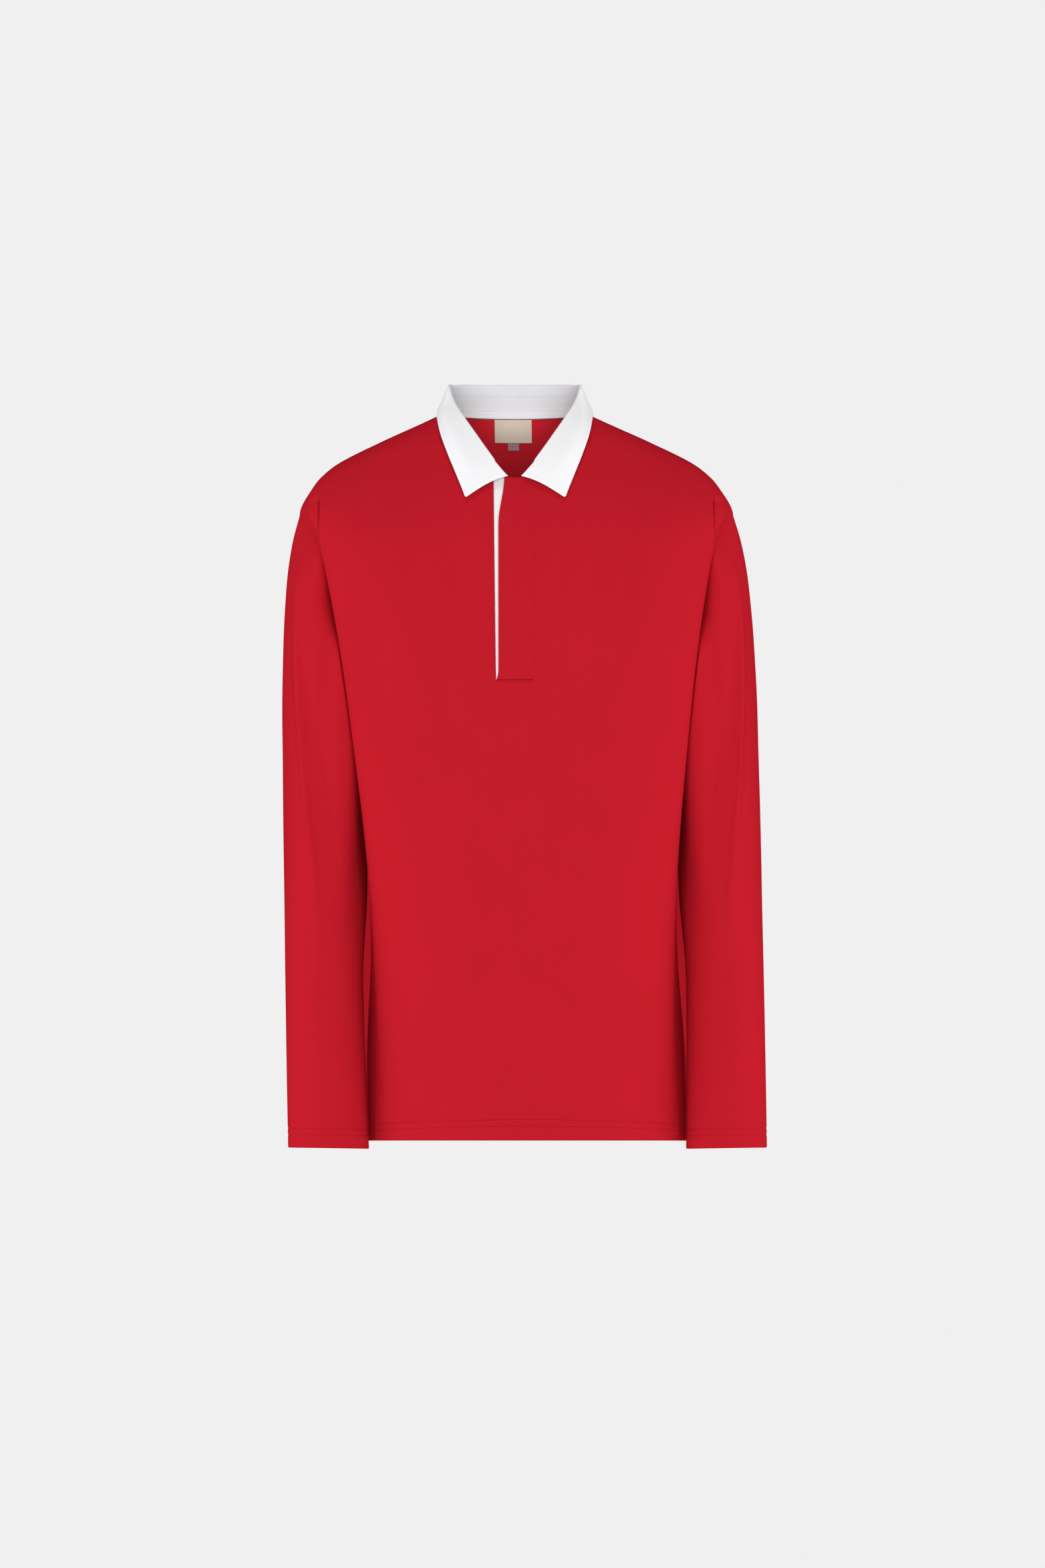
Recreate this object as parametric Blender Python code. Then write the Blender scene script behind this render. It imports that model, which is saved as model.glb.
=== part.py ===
"""Long-sleeved polo shirt, hollow and filled out as if worn, arms hanging down.

Metres, +Z up, the wearer faces -Y.  The origin is the middle of the neck base, where the
wearer carries the shirt.  Each cut piece is one closed wall of cloth.  The body is worked
out from half sections (centre front, crest of the arm fold, side seam and so on to the
centre back), the sleeves from rings, and everything that lies on a panel is made from the
panel's own points, moved in or out.
"""

import bmesh
import bpy
import numpy as np

# ---------------------------------------------------------------- driving dimensions
CLOTH = 0.0015            # wall of the red jersey
COLLAR_CLOTH = 0.0014     # wall of the collar leaf and stand
BAND_CLOTH = 0.0012       # wall of the placket bands
TRIM_CLOTH = 0.0010       # wall of the neck tape and the placket's facing
LABEL_CLOTH = 0.0008      # wall of a woven label
SEAM_GAP = 0.0003         # between two pieces at a seam

HANG = 0.0176             # sideways hang of the whole shirt for each metre of drop
PLUMB_HALF_WIDTH = 0.06   # the placket's strip of the front hangs plumb instead
PLUMB_END = 0.42          # the drop where that strip joins the rest
PLUMB_FADE = 0.15

HEM_FRONT_Z = -0.729      # hem at the centre front, lifted a little by the front
HEM_SIDE_Z = -0.741       # hem at the side seams and behind
HEM_TILT = 0.0866         # the front's hem rises this much for each metre towards the front
HEM_REACH = 1 / 3         # share of the way to the underarm over which its rows follow that
UNDERARM_Z = -0.265
SHOULDER_Z = -0.102       # where the shoulder seam meets the armhole
CUFF_Z = -0.741
CUFF_LEVEL = -0.7480      # the cuffs' edges, tilted: where they would lie at the middle depth
CUFF_TILT = 0.0884        # how much they rise for each metre towards the front
CUFF_SLOPE = 0.0012       # how much lower they lie towards the body
CUFF_BACK = 0.0020        # and how much higher behind
RETURN_REACH = 0.40       # how far the crest's and the side's headings hold between them

SLEEVE_SETTLE = 0.10      # drop over which a sleeve turns from the armhole into its tube
INNER_CORNER = 0.32       # how square a sleeve is where it faces the body, near its top
INNER_CORNER_END_Z = -0.62  # where that has died out
INNER_CORNER_FADE = 0.25    # and over what height it does
CUFF_START = 0.70         # share of a sleeve's length from which it follows the cuff's slope
SLEEVE_CLEAR = 0.0022     # how far a sleeve stays off the body beside it
CLEAR_SETTLE = 0.03       # drop over which it gets there

PLACKET_TOP_Z = -0.069
PLACKET_END_Z = -0.2738
OVERLAP_SEAM_X = 0.0188   # the overlap's seam, to the wearer's left of the centre front
OVERLAP_EDGE_X = -0.0162  # its free edge, to the wearer's right
OVERLAP_NECK_X = -0.0103  # its free edge at the neck
FREE_EDGE_TURN_Z = -0.118 # above this the free edge swings out to the neck
SLIT_TOP_X = -0.0213      # the slit's other edge, at the neck and at its lower end
SLIT_END_X = -0.0188
UNDERLAP_TUCK = 0.006     # how far the underlap reaches behind the front beside the slit
UNDERLAP_REACH = 0.024    # and behind the overlap, from its free edge
FACING_SHOWS = 0.0006     # how far the white facing peeps out along the free edge
FACING_REACH = 0.012      # and how far it reaches behind the overlap
PLACKET_PROUD = 0.0014    # how far the overlap's free edge stands off the chest
OVERLAP_BASE = 0.0002     # how far its seam edge does
PROUD_RISE = 0.03         # drop over which it lies down towards its lower end

STAND_SHARE = 0.68        # share of the collar's standing height that the stand takes
ROLL_RADIUS = 0.0018      # outer radius of the collar's fold
END_TAPER = 0.20          # how much thinner the roll is at its front end
TAPER_REACH = 0.15        # share of the collar over which it thins
END_BOW = 0.0125          # how far the leaf's front end bows back, as a share of the collar
BOW_POWER = 8             # how closely that keeps to the front end
PUFF_LOW, PUFF_RISE = 1.8, 3.7  # how the fall's puff shifts towards its free edge
SLIT_ALONG = 0.955        # place on the neck seam where the front panel's slit begins
PLACKET_SEAT = 0.0040     # how far the collar's front ends stand off, to clear the placket
SEAT_ALONG = 0.85         # place on the neck seam where they begin to
TAPE_LOW = 0.0008         # neck tape, above the seam
TAPE_HEIGHT = 0.0085

LABEL_MIDDLE_X = -0.0018
NECK_LABEL_SIZE = (0.0384, 0.0006, 0.0236)  # width, drop of its top, drop of its lower edge
SIZE_LABEL_SIZE = (0.0115, 0.0016, 0.0311)
NECK_LABEL_SLANT = 0.10   # how fast a label swings away from the back panel
SIZE_LABEL_SLANT = 0.05

LOWER_ROWS = 11           # rows of cloth between the hem and the underarm
CHEST_ROWS = 6            # rows between the underarm and the neck pit
NECK_ROWS = 6             # rows that end on the neck seam
COLUMN_SHARES = (0.0, 0.15, 0.30, 0.44, 0.55, 0.625, 0.685, 0.74, 0.80, 0.865, 0.93, 1.0)
CREST_COLUMN = 0.685      # the column that follows the crest
SLEEVE_DROPS = (0.0, 0.025, 0.06, 0.105, 0.16, 0.22, 0.29, 0.37, 0.45, 0.53, 0.61, 0.70,
                0.79, 0.88, 0.95, 1.0)
FALL_SHARES = (0.3, 0.65, 1.0)  # rows of the collar's fall
ROLL_TURNS = (0.0, 1 / 3, 2 / 3, 1.0)  # rows of its fold


class Table:
    """A short table of named columns, read between its rows along a smooth curve."""

    def __init__(self, names, *rows):
        ordered = np.array(sorted(rows))
        self.keys = ordered[:, 0]
        self.columns = dict(zip(names.split()[1:], ordered[:, 1:].T))

    def __call__(self, name, key):
        values = self.columns[name]
        slopes = np.gradient(values, self.keys)
        key = np.clip(key, self.keys[0], self.keys[-1])
        low = np.clip(np.searchsorted(self.keys, key) - 1, 0, len(self.keys) - 2)
        span = self.keys[low + 1] - self.keys[low]
        f = (key - self.keys[low]) / span
        return (values[low] * (1 + 2 * f) * (1 - f) ** 2 + values[low + 1] * f * f * (3 - 2 * f)
                + span * (slopes[low] * f * (1 - f) ** 2 - slopes[low + 1] * f * f * (1 - f)))


# Half sections of the body at a height.  depth: the wall at the centre line; crest_x and
# crest_y: where the cloth turns back to the side; turn: how far (degrees) it still runs
# outwards there; flat: how much of the width stays flat; corner: length of the turn.
FRONT = Table(
    "z       depth    crest_x  crest_y  turn  flat   corner",
    (+0.002, -0.014, 0.0725, +0.008, 0, 0.55, 0.012),
    (-0.009, -0.026, 0.0960, +0.008, 0, 0.55, 0.019),
    (-0.028, -0.041, 0.1380, +0.008, 0, 0.55, 0.028),
    (-0.053, -0.056, 0.1860, +0.006, 0, 0.57, 0.034),
    (-0.077, -0.070, 0.2075, -0.006, 0, 0.62, 0.036),
    (-0.102, -0.082, 0.2135, -0.026, 0, 0.66, 0.032),
    (-0.125, -0.092, 0.2030, -0.046, 0, 0.70, 0.026),
    (-0.155, -0.101, 0.1950, -0.057, -6, 0.72, 0.023),
    (-0.202, -0.112, 0.1855, -0.067, -16, 0.72, 0.021),
    (-0.265, -0.120, 0.1755, -0.076, -22, 0.72, 0.021),
    (-0.350, -0.124, 0.1655, -0.080, -18, 0.74, 0.020),
    (-0.440, -0.127, 0.1570, -0.080, -5, 0.76, 0.019),
    (-0.530, -0.129, 0.1515, -0.078, 10, 0.78, 0.018),
    (-0.620, -0.131, 0.1500, -0.079, 14, 0.78, 0.018),
    (-0.741, -0.134, 0.1530, -0.083, 17, 0.78, 0.018),
)
BACK = Table(
    "z       depth    crest_x  crest_y  turn  flat   corner",
    (+0.002, 0.0615, 0.0725, 0.008, 0, 0.55, 0.030),
    (-0.009, 0.0665, 0.0960, 0.008, 0, 0.55, 0.032),
    (-0.028, 0.0770, 0.1380, 0.008, 0, 0.55, 0.038),
    (-0.053, 0.0880, 0.1860, 0.010, 0, 0.57, 0.042),
    (-0.077, 0.0960, 0.2075, 0.020, 0, 0.62, 0.042),
    (-0.102, 0.1020, 0.2130, 0.036, 0, 0.66, 0.038),
    (-0.125, 0.1060, 0.2050, 0.052, 0, 0.68, 0.032),
    (-0.155, 0.1095, 0.1970, 0.062, -6, 0.70, 0.028),
    (-0.202, 0.1130, 0.1870, 0.070, -14, 0.70, 0.026),
    (-0.265, 0.1150, 0.1790, 0.076, -20, 0.70, 0.026),
    (-0.350, 0.1150, 0.1750, 0.077, -18, 0.70, 0.026),
    (-0.440, 0.1160, 0.1740, 0.075, -10, 0.70, 0.026),
    (-0.530, 0.1180, 0.1740, 0.071, 0, 0.70, 0.028),
    (-0.620, 0.1210, 0.1755, 0.068, 5, 0.70, 0.030),
    (-0.741, 0.1250, 0.1780, 0.066, 8, 0.70, 0.032),
)
# The shoulder ridge down to the armhole, the line hidden inside the sleeve, the side seam.
SIDE = Table(
    "z       x        y",
    (+0.002, 0.0725, 0.008),
    (-0.009, 0.0960, 0.008),
    (-0.028, 0.1380, 0.008),
    (-0.040, 0.1630, 0.008),
    (-0.053, 0.1860, 0.008),
    (-0.064, 0.1995, 0.008),
    (-0.077, 0.2095, 0.008),
    (-0.102, 0.2215, 0.006),
    (-0.125, 0.2140, 0.005),
    (-0.155, 0.1960, 0.005),
    (-0.202, 0.1705, 0.004),
    (-0.265, 0.1505, 0.003),
    (-0.350, 0.1430, 0.002),
    (-0.440, 0.1435, 0.004),
    (-0.530, 0.1520, 0.008),
    (-0.620, 0.1610, 0.010),
    (-0.741, 0.1720, 0.012),
)
# The armhole, as the share of the front and back half sections that the panels keep.
ARMHOLE = Table(
    "z       front  back",
    (-0.102, 1.000, 1.000),
    (-0.110, 0.955, 0.965),
    (-0.118, 0.910, 0.932),
    (-0.126, 0.864, 0.905),
    (-0.134, 0.825, 0.884),
    (-0.145, 0.800, 0.867),
    (-0.160, 0.799, 0.861),
    (-0.185, 0.829, 0.872),
    (-0.225, 0.903, 0.925),
    (-0.250, 0.956, 0.966),
    (-0.265, 1.000, 1.000),
)
# The neck seam from the centre back (0) over the shoulder seam (0.5) to the front end (1).
NECK_BACK = Table(
    "along  share  z",
    (0.00, 0.000, 0.0000),
    (0.25, 0.500, 0.0005),
    (0.42, 0.840, 0.0015),
    (0.50, 1.000, 0.0020),
)
NECK_FRONT = Table(
    "along  share  z",
    (0.50, 1.000, 0.0020),
    (0.58, 0.740, -0.0050),
    (0.67, 0.517, -0.0160),
    (0.75, 0.362, -0.0290),
    (0.83, 0.249, -0.0420),
    (0.92, 0.140, -0.0580),
    (1.00, 0.036, -0.0695),
)
# Sleeve rings: the outer edge, half of the width and depth, and where the middle lies.
SLEEVE = Table(
    "z       outer    half_x   y       half_y",
    (-0.102, 0.2220, 0.0700, +0.005, 0.044),
    (-0.125, 0.2283, 0.0620, +0.005, 0.050),
    (-0.155, 0.2334, 0.0560, +0.001, 0.057),
    (-0.202, 0.2379, 0.0490, -0.003, 0.062),
    (-0.265, 0.2408, 0.0425, -0.009, 0.063),
    (-0.350, 0.2425, 0.0400, -0.015, 0.060),
    (-0.440, 0.2425, 0.0395, -0.025, 0.052),
    (-0.495, 0.2418, 0.0390, -0.034, 0.046),
    (-0.560, 0.2415, 0.0393, -0.046, 0.040),
    (-0.650, 0.2407, 0.0397, -0.065, 0.033),
    (-0.741, 0.2396, 0.0407, -0.082, 0.025),
)
# The collar from the centre back (0) to its front end (1): the roll line and the free edge.
COLLAR = Table(
    "along  roll_x   roll_y   roll_z   edge_x  edge_y   edge_z   puff",
    (0.000, 0.0000, +0.0610, 0.0359, 0.0000, +0.0760, -0.0090, 0.0030),
    (0.125, 0.0270, +0.0570, 0.0356, 0.0330, +0.0710, -0.0095, 0.0030),
    (0.250, 0.0480, +0.0440, 0.0347, 0.0590, +0.0590, -0.0075, 0.0025),
    (0.375, 0.0615, +0.0280, 0.0326, 0.0760, +0.0400, -0.0030, 0.0008),
    (0.500, 0.0662, +0.0110, 0.0297, 0.0805, +0.0110, +0.0034, 0.0000),
    (0.600, 0.0608, -0.0085, 0.0125, 0.0768, -0.0330, -0.0180, 0.0012),
    (0.700, 0.0510, -0.0290, -0.0045, 0.0690, -0.0515, -0.0420, 0.0025),
    (0.800, 0.0380, -0.0475, -0.0245, 0.0610, -0.0655, -0.0625, 0.0030),
    (0.900, 0.0230, -0.0630, -0.0465, 0.0540, -0.0760, -0.0800, 0.0022),
    (1.000, 0.0064, -0.0740, -0.0678, 0.0502, -0.0820, -0.0900, 0.0006),
)


def smooth(f):
    """Ease from 0 to 1 with level ends."""
    f = np.clip(f, 0.0, 1.0)
    return f * f * (3 - 2 * f)


def unit(v):
    return v / np.linalg.norm(v, axis=-1, keepdims=True)


def bezier(p, f):
    """Point of the cubic arc with control points p[0] to p[3] at parameter f."""
    f = f[..., None]
    g = 1 - f
    return p[0] * g ** 3 + 3 * p[1] * f * g * g + 3 * p[2] * f * f * g + p[3] * f ** 3


def arc_trail(p, steps=32):
    """How far along a cubic arc each of its steps lies."""
    grid = np.broadcast_to(np.linspace(0, 1, steps + 1), p[0].shape[:-1] + (steps + 1,))
    trail = bezier([q[..., None, :] for q in p], grid)
    run = np.cumsum(np.linalg.norm(np.diff(trail, axis=-2), axis=-1), axis=-1)
    return np.concatenate([np.zeros(run.shape[:-1] + (1,)), run], axis=-1)


def along_arc(p, run, distance):
    """Point of a cubic arc at a distance along it."""
    steps = run.shape[-1] - 1
    low = np.clip((run < distance[..., None]).sum(axis=-1) - 1, 0, steps - 1)[..., None]
    start = np.take_along_axis(run, low, -1)[..., 0]
    end = np.take_along_axis(run, low + 1, -1)[..., 0]
    step = (distance - start) / np.maximum(end - start, 1e-9)
    return bezier(p, (low[..., 0] + np.clip(step, 0, 1)) / steps)


def section_arcs(panel, z):
    """The two arcs of a panel's half section, to the crest and back from it, with trails."""
    depth, crest_x, crest_y = panel("depth", z), panel("crest_x", z), panel("crest_y", z)
    turn, corner = np.radians(panel("turn", z)), panel("corner", z)
    side_x, side_y = SIDE("x", z), SIDE("y", z)
    zero, back = 0 * z, np.sign(side_y - depth)
    heading = np.stack([np.sin(turn), np.cos(turn) * back], axis=-1)
    crest = np.stack([crest_x, crest_y], axis=-1)
    side = np.stack([side_x, side_y], axis=-1)
    reach = RETURN_REACH * np.linalg.norm(side - crest, axis=-1, keepdims=True)
    across = [np.stack([zero, depth], axis=-1),
              np.stack([crest_x * panel("flat", z), depth], axis=-1),
              crest - heading * corner[..., None], crest]
    return_arc = [crest, crest + heading * reach,
                  side - np.stack([zero, back], axis=-1) * reach, side]
    return across, return_arc, arc_trail(across), arc_trail(return_arc)


def crest_share(panel, z):
    """Share of a half section that lies between the centre line and the crest."""
    _, _, across_run, return_run = section_arcs(panel, z)
    return across_run[..., -1] / (across_run[..., -1] + return_run[..., -1])


def half_section(panel, share, z):
    """Point (x, y) of a panel's half section: 0 at the centre line, 1 at the side line."""
    across, return_arc, across_run, return_run = section_arcs(panel, z)
    distance = share * (across_run[..., -1] + return_run[..., -1])
    rest = distance - across_run[..., -1]
    first = along_arc(across, across_run, np.minimum(distance, across_run[..., -1]))
    second = along_arc(return_arc, return_run, np.maximum(rest, 0))
    return np.where((rest <= 0)[..., None], first, second)


def torso(turn, z):
    """Point of the body: turn 0 at the centre front, 1 at the side, 2 at the centre back."""
    turn, z = np.broadcast_arrays(np.asarray(turn, float), np.asarray(z, float))
    front = half_section(FRONT, np.clip(turn, 0, 1), z)
    rear = half_section(BACK, np.clip(2 - turn, 0, 1), z)
    xy = np.where((turn <= 1)[..., None], front, rear)
    return np.concatenate([xy, z[..., None]], axis=-1)


def torso_normal(turn, z):
    """Outward normal of the body there."""
    step, rise = 0.004, 0.0015
    across = torso(np.clip(turn + step, 0, 2), z) - torso(np.clip(turn - step, 0, 2), z)
    up = torso(turn, z + rise) - torso(turn, z - rise)
    return unit(np.cross(across, up))


def hang(points):
    """Let the shirt hang a little to one side, with its placket plumb."""
    moved = points.copy()
    drop = np.clip(-points[..., 2], 0, None)
    near_placket = np.exp(-(points[..., 0] / PLUMB_HALF_WIDTH) ** 2)
    near_placket *= smooth((PLUMB_END - drop) / PLUMB_FADE) * smooth(-points[..., 1] / 0.03)
    moved[..., 0] += HANG * drop * (1 - near_placket)
    return moved


# ---------------------------------------------------------------- walls of cloth
def mirrored(points):
    return points * np.array([-1.0, 1.0, 1.0])


def pull_in(grid, first_row=False, last_row=False, first_column=False, last_column=False):
    """Draw the named edges of a grid of points in by half a seam gap."""
    grid = grid.copy()
    for wanted, edge, inside in ((first_row, np.s_[0], np.s_[1]), (last_row, np.s_[-1], np.s_[-2]),
                                 (first_column, np.s_[:, 0], np.s_[:, 1]),
                                 (last_column, np.s_[:, -1], np.s_[:, -2])):
        if wanted:
            grid[edge] += unit(grid[inside] - grid[edge]) * SEAM_GAP / 2
    return grid


def cloth_wall(name, finish, outer, inner, closed=False, keep=None):
    """One closed wall between two grids of points; a grid may close on itself sideways."""
    rows, columns = outer.shape[:2]
    mesh = bmesh.new()
    corners, rim = {}, {}

    def vert(layer, r, c):
        spot = (layer, *np.round(outer[r, c % columns], 6))
        if spot not in corners:
            corners[spot] = mesh.verts.new((outer, inner)[layer][r, c % columns])
        return corners[spot]

    for r in range(rows - 1):
        for c in range(columns if closed else columns - 1):
            if keep is not None and not keep(r, c):
                continue
            ring = [(r, c), (r, c + 1), (r + 1, c + 1), (r + 1, c)]
            top = [vert(0, *spot) for spot in ring]
            under = [vert(1, *spot) for spot in ring]
            for a, b, d in ((0, 1, 2), (0, 2, 3)):
                mesh.faces.new((top[a], top[b], top[d]))
                mesh.faces.new((under[d], under[b], under[a]))
            for i in range(4):
                edge = (top[i], top[(i + 1) % 4])
                if rim.pop((edge[1], edge[0]), None) is None:
                    rim[edge] = (under[i], under[(i + 1) % 4])
    for (a, b), (a_under, b_under) in rim.items():
        mesh.faces.new((b, a, a_under))
        mesh.faces.new((b, a_under, b_under))
    bmesh.ops.recalc_face_normals(mesh, faces=mesh.faces)
    data = bpy.data.meshes.new(name)
    mesh.to_mesh(data)
    mesh.free()
    data.shade_smooth()
    data.set_sharp_from_angle(angle=np.radians(50))
    data.materials.append(finish)
    piece = bpy.data.objects.new(name, data)
    bpy.context.scene.collection.objects.link(piece)
    return piece


def finish(name, colour, roughness):
    """A cloth material."""
    material = bpy.data.materials.new(name)
    material.use_nodes = True
    shader = material.node_tree.nodes["Principled BSDF"]
    shader.inputs["Base Color"].default_value = (*colour, 1)
    shader.inputs["Roughness"].default_value = roughness
    shader.inputs["Metallic"].default_value = 0
    return material


# ---------------------------------------------------------------- body panels
def armhole_heights(part):
    """Heights of the armhole's points from the underarm up, evenly along its edge."""
    z = np.linspace(UNDERARM_Z, SHOULDER_Z, 300)
    share = ARMHOLE(part, z)
    trail = torso(share if part == "front" else 2 - share, z)
    run = np.concatenate([[0], np.cumsum(np.linalg.norm(np.diff(trail, axis=0), axis=1))])
    marks = np.linspace(0, run[-1], CHEST_ROWS + NECK_ROWS + 1)
    return np.interp(marks, run, z)


def edge_share(edge_x, z):
    """Share of a front half section at a small distance from the centre line."""
    probe = 0.1
    return probe * edge_x / torso(probe, z)[..., 0]


def half_panel(part, slit_edge=None):
    """Shares and heights of a half panel's points, row by row from the hem up."""
    columns = np.array(COLUMN_SHARES)
    centre_top = NECK_FRONT("z", SLIT_ALONG) if part == "front" else NECK_BACK("z", 0.0)
    slit_end = PLACKET_END_Z if part == "front" else UNDERARM_Z
    hem_z = HEM_FRONT_Z if part == "front" else HEM_SIDE_Z
    lower, chest = np.linspace(0, 1, LOWER_ROWS + 1), np.linspace(0, 1, CHEST_ROWS + 1)[1:]
    neck = np.linspace(0, 1, NECK_ROWS + 1)[1:]
    centre_z = np.concatenate([hem_z + (slit_end - hem_z) * lower,
                               slit_end + (centre_top - slit_end) * chest])
    if part == "front":
        along = SLIT_ALONG + (0.5 - SLIT_ALONG) * neck
        centre_share = edge_share(abs(slit_edge(centre_z)), centre_z)
        inner_share = np.concatenate([centre_share, NECK_FRONT("share", along)])
        inner_z = np.concatenate([centre_z, NECK_FRONT("z", along)])
    else:
        along = 0.5 * neck
        inner_share = np.concatenate([0 * centre_z, NECK_BACK("share", along)])
        inner_z = np.concatenate([centre_z, NECK_BACK("z", along)])
    outer_z = np.concatenate([HEM_SIDE_Z + (UNDERARM_Z - HEM_SIDE_Z) * lower[:-1],
                              armhole_heights(part)])
    outer_share = np.where(outer_z < UNDERARM_Z, 1.0, ARMHOLE(part, outer_z))
    level = np.concatenate([0 * centre_z, neck])[:, None]
    ease = smooth(columns) * (1 - level) + columns * level
    breadth = outer_share - inner_share
    crest = crest_share(FRONT if part == "front" else BACK, outer_z) - inner_share
    crest = np.clip(crest / np.maximum(breadth, 1e-6), 0.60, 0.93)[:, None]
    spread = np.where(columns <= CREST_COLUMN, crest * columns / CREST_COLUMN,
                      1 - (1 - crest) * (1 - columns) / (1 - CREST_COLUMN))
    share = inner_share[:, None] + breadth[:, None] * spread
    z = inner_z[:, None] + (outer_z - inner_z)[:, None] * ease
    if part == "front":
        climb = np.concatenate([lower, 1 + 0 * chest, 1 + 0 * neck])[:, None]
        hem = HEM_SIDE_Z - HEM_TILT * torso(share[:1], z[:1])[..., 1]
        z = z + (hem - z[:1]) * (1 - smooth(climb / HEM_REACH))
    return share, z


def slit_left(z):
    """The slit's edge on the wearer's right."""
    return SLIT_TOP_X + (SLIT_END_X - SLIT_TOP_X) * (PLACKET_TOP_Z - z) / (PLACKET_TOP_Z - PLACKET_END_Z)


def slit_right(z):
    """The overlap's seam on the wearer's left."""
    return OVERLAP_SEAM_X + 0 * z


def build_front(jersey):
    """The front, in one piece from side to side, slit down the placket from the neck."""
    halves = []
    for side, edge in ((-1, slit_left), (1, slit_right)):
        share, z = half_panel("front", edge)
        turned = np.array([side, 1, 1])
        halves.append(np.stack([torso(share, z) * turned, torso_normal(share, z) * turned]))
    right, left = halves
    middle = [right[:, :, :1] * (1 - f) + left[:, :, :1] * f for f in (1 / 3, 2 / 3)]
    outer, normal = np.concatenate([right[:, :, ::-1], *middle, left], axis=2)
    normal = unit(normal)
    half = len(COLUMN_SHARES)
    outer = pull_in(outer, last_row=True, first_column=True, last_column=True)
    inner = outer - normal * CLOTH
    return cloth_wall("front", jersey, hang(outer), hang(inner),
                      keep=lambda r, c: r < LOWER_ROWS or not half - 1 <= c <= half + 1)


def build_back(jersey):
    share, z = half_panel("back")
    outer, normal = torso(2 - share, z), torso_normal(2 - share, z)
    normal[share == 0] *= np.array([0, 1, 1])
    outer = pull_in(outer, last_row=True, last_column=True)
    outer = np.concatenate([mirrored(outer)[:, ::-1], outer], axis=1)
    normal = unit(np.concatenate([mirrored(normal)[:, ::-1], normal], axis=1))
    half = len(COLUMN_SHARES)
    return cloth_wall("back", jersey, hang(outer), hang(outer - normal * CLOTH),
                      keep=lambda r, c: c != half - 1)


# ---------------------------------------------------------------- sleeves
def armhole_ring():
    """The sleeve's top edge once round: shoulder, front, underarm, back; just off the body."""
    front_z, back_z = armhole_heights("front")[::-1], armhole_heights("back")[1:-1]
    turn = np.concatenate([ARMHOLE("front", front_z), 2 - ARMHOLE("back", back_z)])
    z = np.concatenate([front_z, back_z])
    return torso(turn, z) + torso_normal(turn, z) * SEAM_GAP


def sleeve_ring(angle, z):
    """Point of the sleeve's tube: angle 0 outside, a quarter turn in front."""
    middle = SLEEVE("outer", z) - SLEEVE("half_x", z)
    corner = np.clip(-np.sin(2 * angle) * np.sign(np.sin(angle)), 0, None) ** 2
    corner = 1 + INNER_CORNER * corner * smooth((z - INNER_CORNER_END_Z) / INNER_CORNER_FADE)
    return np.stack([middle + SLEEVE("half_x", z) * np.cos(angle) * corner,
                     SLEEVE("y", z) - SLEEVE("half_y", z) * np.sin(angle) * corner, z], axis=-1)


def clear_of_body(points, clearance):
    """Points moved out, level, until they are at least a clearance off the body."""
    section = torso(np.linspace(0.3, 1.7, 141), points[..., 2:])[..., :2]
    along = np.gradient(section, axis=-2)
    outward = unit(np.stack([along[..., 1], -along[..., 0]], axis=-1))
    away = points[..., None, :2] - section
    nearest = np.linalg.norm(away, axis=-1).argmin(axis=-1)[..., None, None]
    away = np.take_along_axis(away, nearest, -2)[..., 0, :]
    outward = np.take_along_axis(outward, nearest, -2)[..., 0, :]
    spare = (away * outward).sum(axis=-1) - clearance
    eased = np.hypot(spare, clearance - SEAM_GAP)
    moved = points.copy()
    moved[..., :2] += outward * ((eased - spare) / 2)[..., None]
    return moved


def sleeve_points(ring, drops):
    """Points of the sleeve's outer face, from the armhole's ring down to the cuff."""
    angle = np.linspace(0, 2 * np.pi, len(ring), endpoint=False)[None, :]
    top_z = ring[None, :, 2]
    y = SLEEVE("y", CUFF_Z) - SLEEVE("half_y", CUFF_Z) * np.sin(angle)
    edge_z = CUFF_LEVEL - CUFF_TILT * y - CUFF_SLOPE * (1 - np.cos(angle)) / 2
    edge_z = edge_z + CUFF_BACK * smooth(-np.sin(angle))
    drops = np.array(drops)[:, None]
    slope = (edge_z - CUFF_Z) * smooth((drops - CUFF_START) / (1 - CUFF_START))
    z = top_z + (CUFF_Z + slope - top_z) * drops
    angle, top_z = np.broadcast_to(angle, z.shape), np.broadcast_to(top_z, z.shape)
    pull = ring[None] - sleeve_ring(angle, top_z)
    free = sleeve_ring(angle, z) + pull * (1 - smooth((top_z - z) / SLEEVE_SETTLE))[..., None]
    return clear_of_body(free, SEAM_GAP + SLEEVE_CLEAR * smooth((top_z - z) / CLEAR_SETTLE))


def build_sleeve(name, jersey, side):
    ring = armhole_ring()
    outer = sleeve_points(ring, SLEEVE_DROPS)
    around = np.roll(outer, -1, axis=1) - np.roll(outer, 1, axis=1)
    down = sleeve_points(ring, np.array(SLEEVE_DROPS) + 0.004) - outer
    normal = unit(np.cross(around, down))
    outer = pull_in(outer, first_row=True)
    inner = outer - normal * CLOTH
    if side < 0:
        outer, inner = mirrored(outer), mirrored(inner)
    return cloth_wall(name, jersey, hang(outer), hang(inner), closed=True)


# ---------------------------------------------------------------- collar
def both_sides(right):
    """A grid over both halves from one whose first column lies on the centre back."""
    return np.concatenate([mirrored(right)[:, :0:-1], right], axis=1)


def neck_point(along):
    """Point of the neck seam."""
    rear = torso(2 - NECK_BACK("share", along), NECK_BACK("z", along))
    front = torso(NECK_FRONT("share", along), NECK_FRONT("z", along))
    return np.where((along <= 0.5)[..., None], rear, front)


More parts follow.
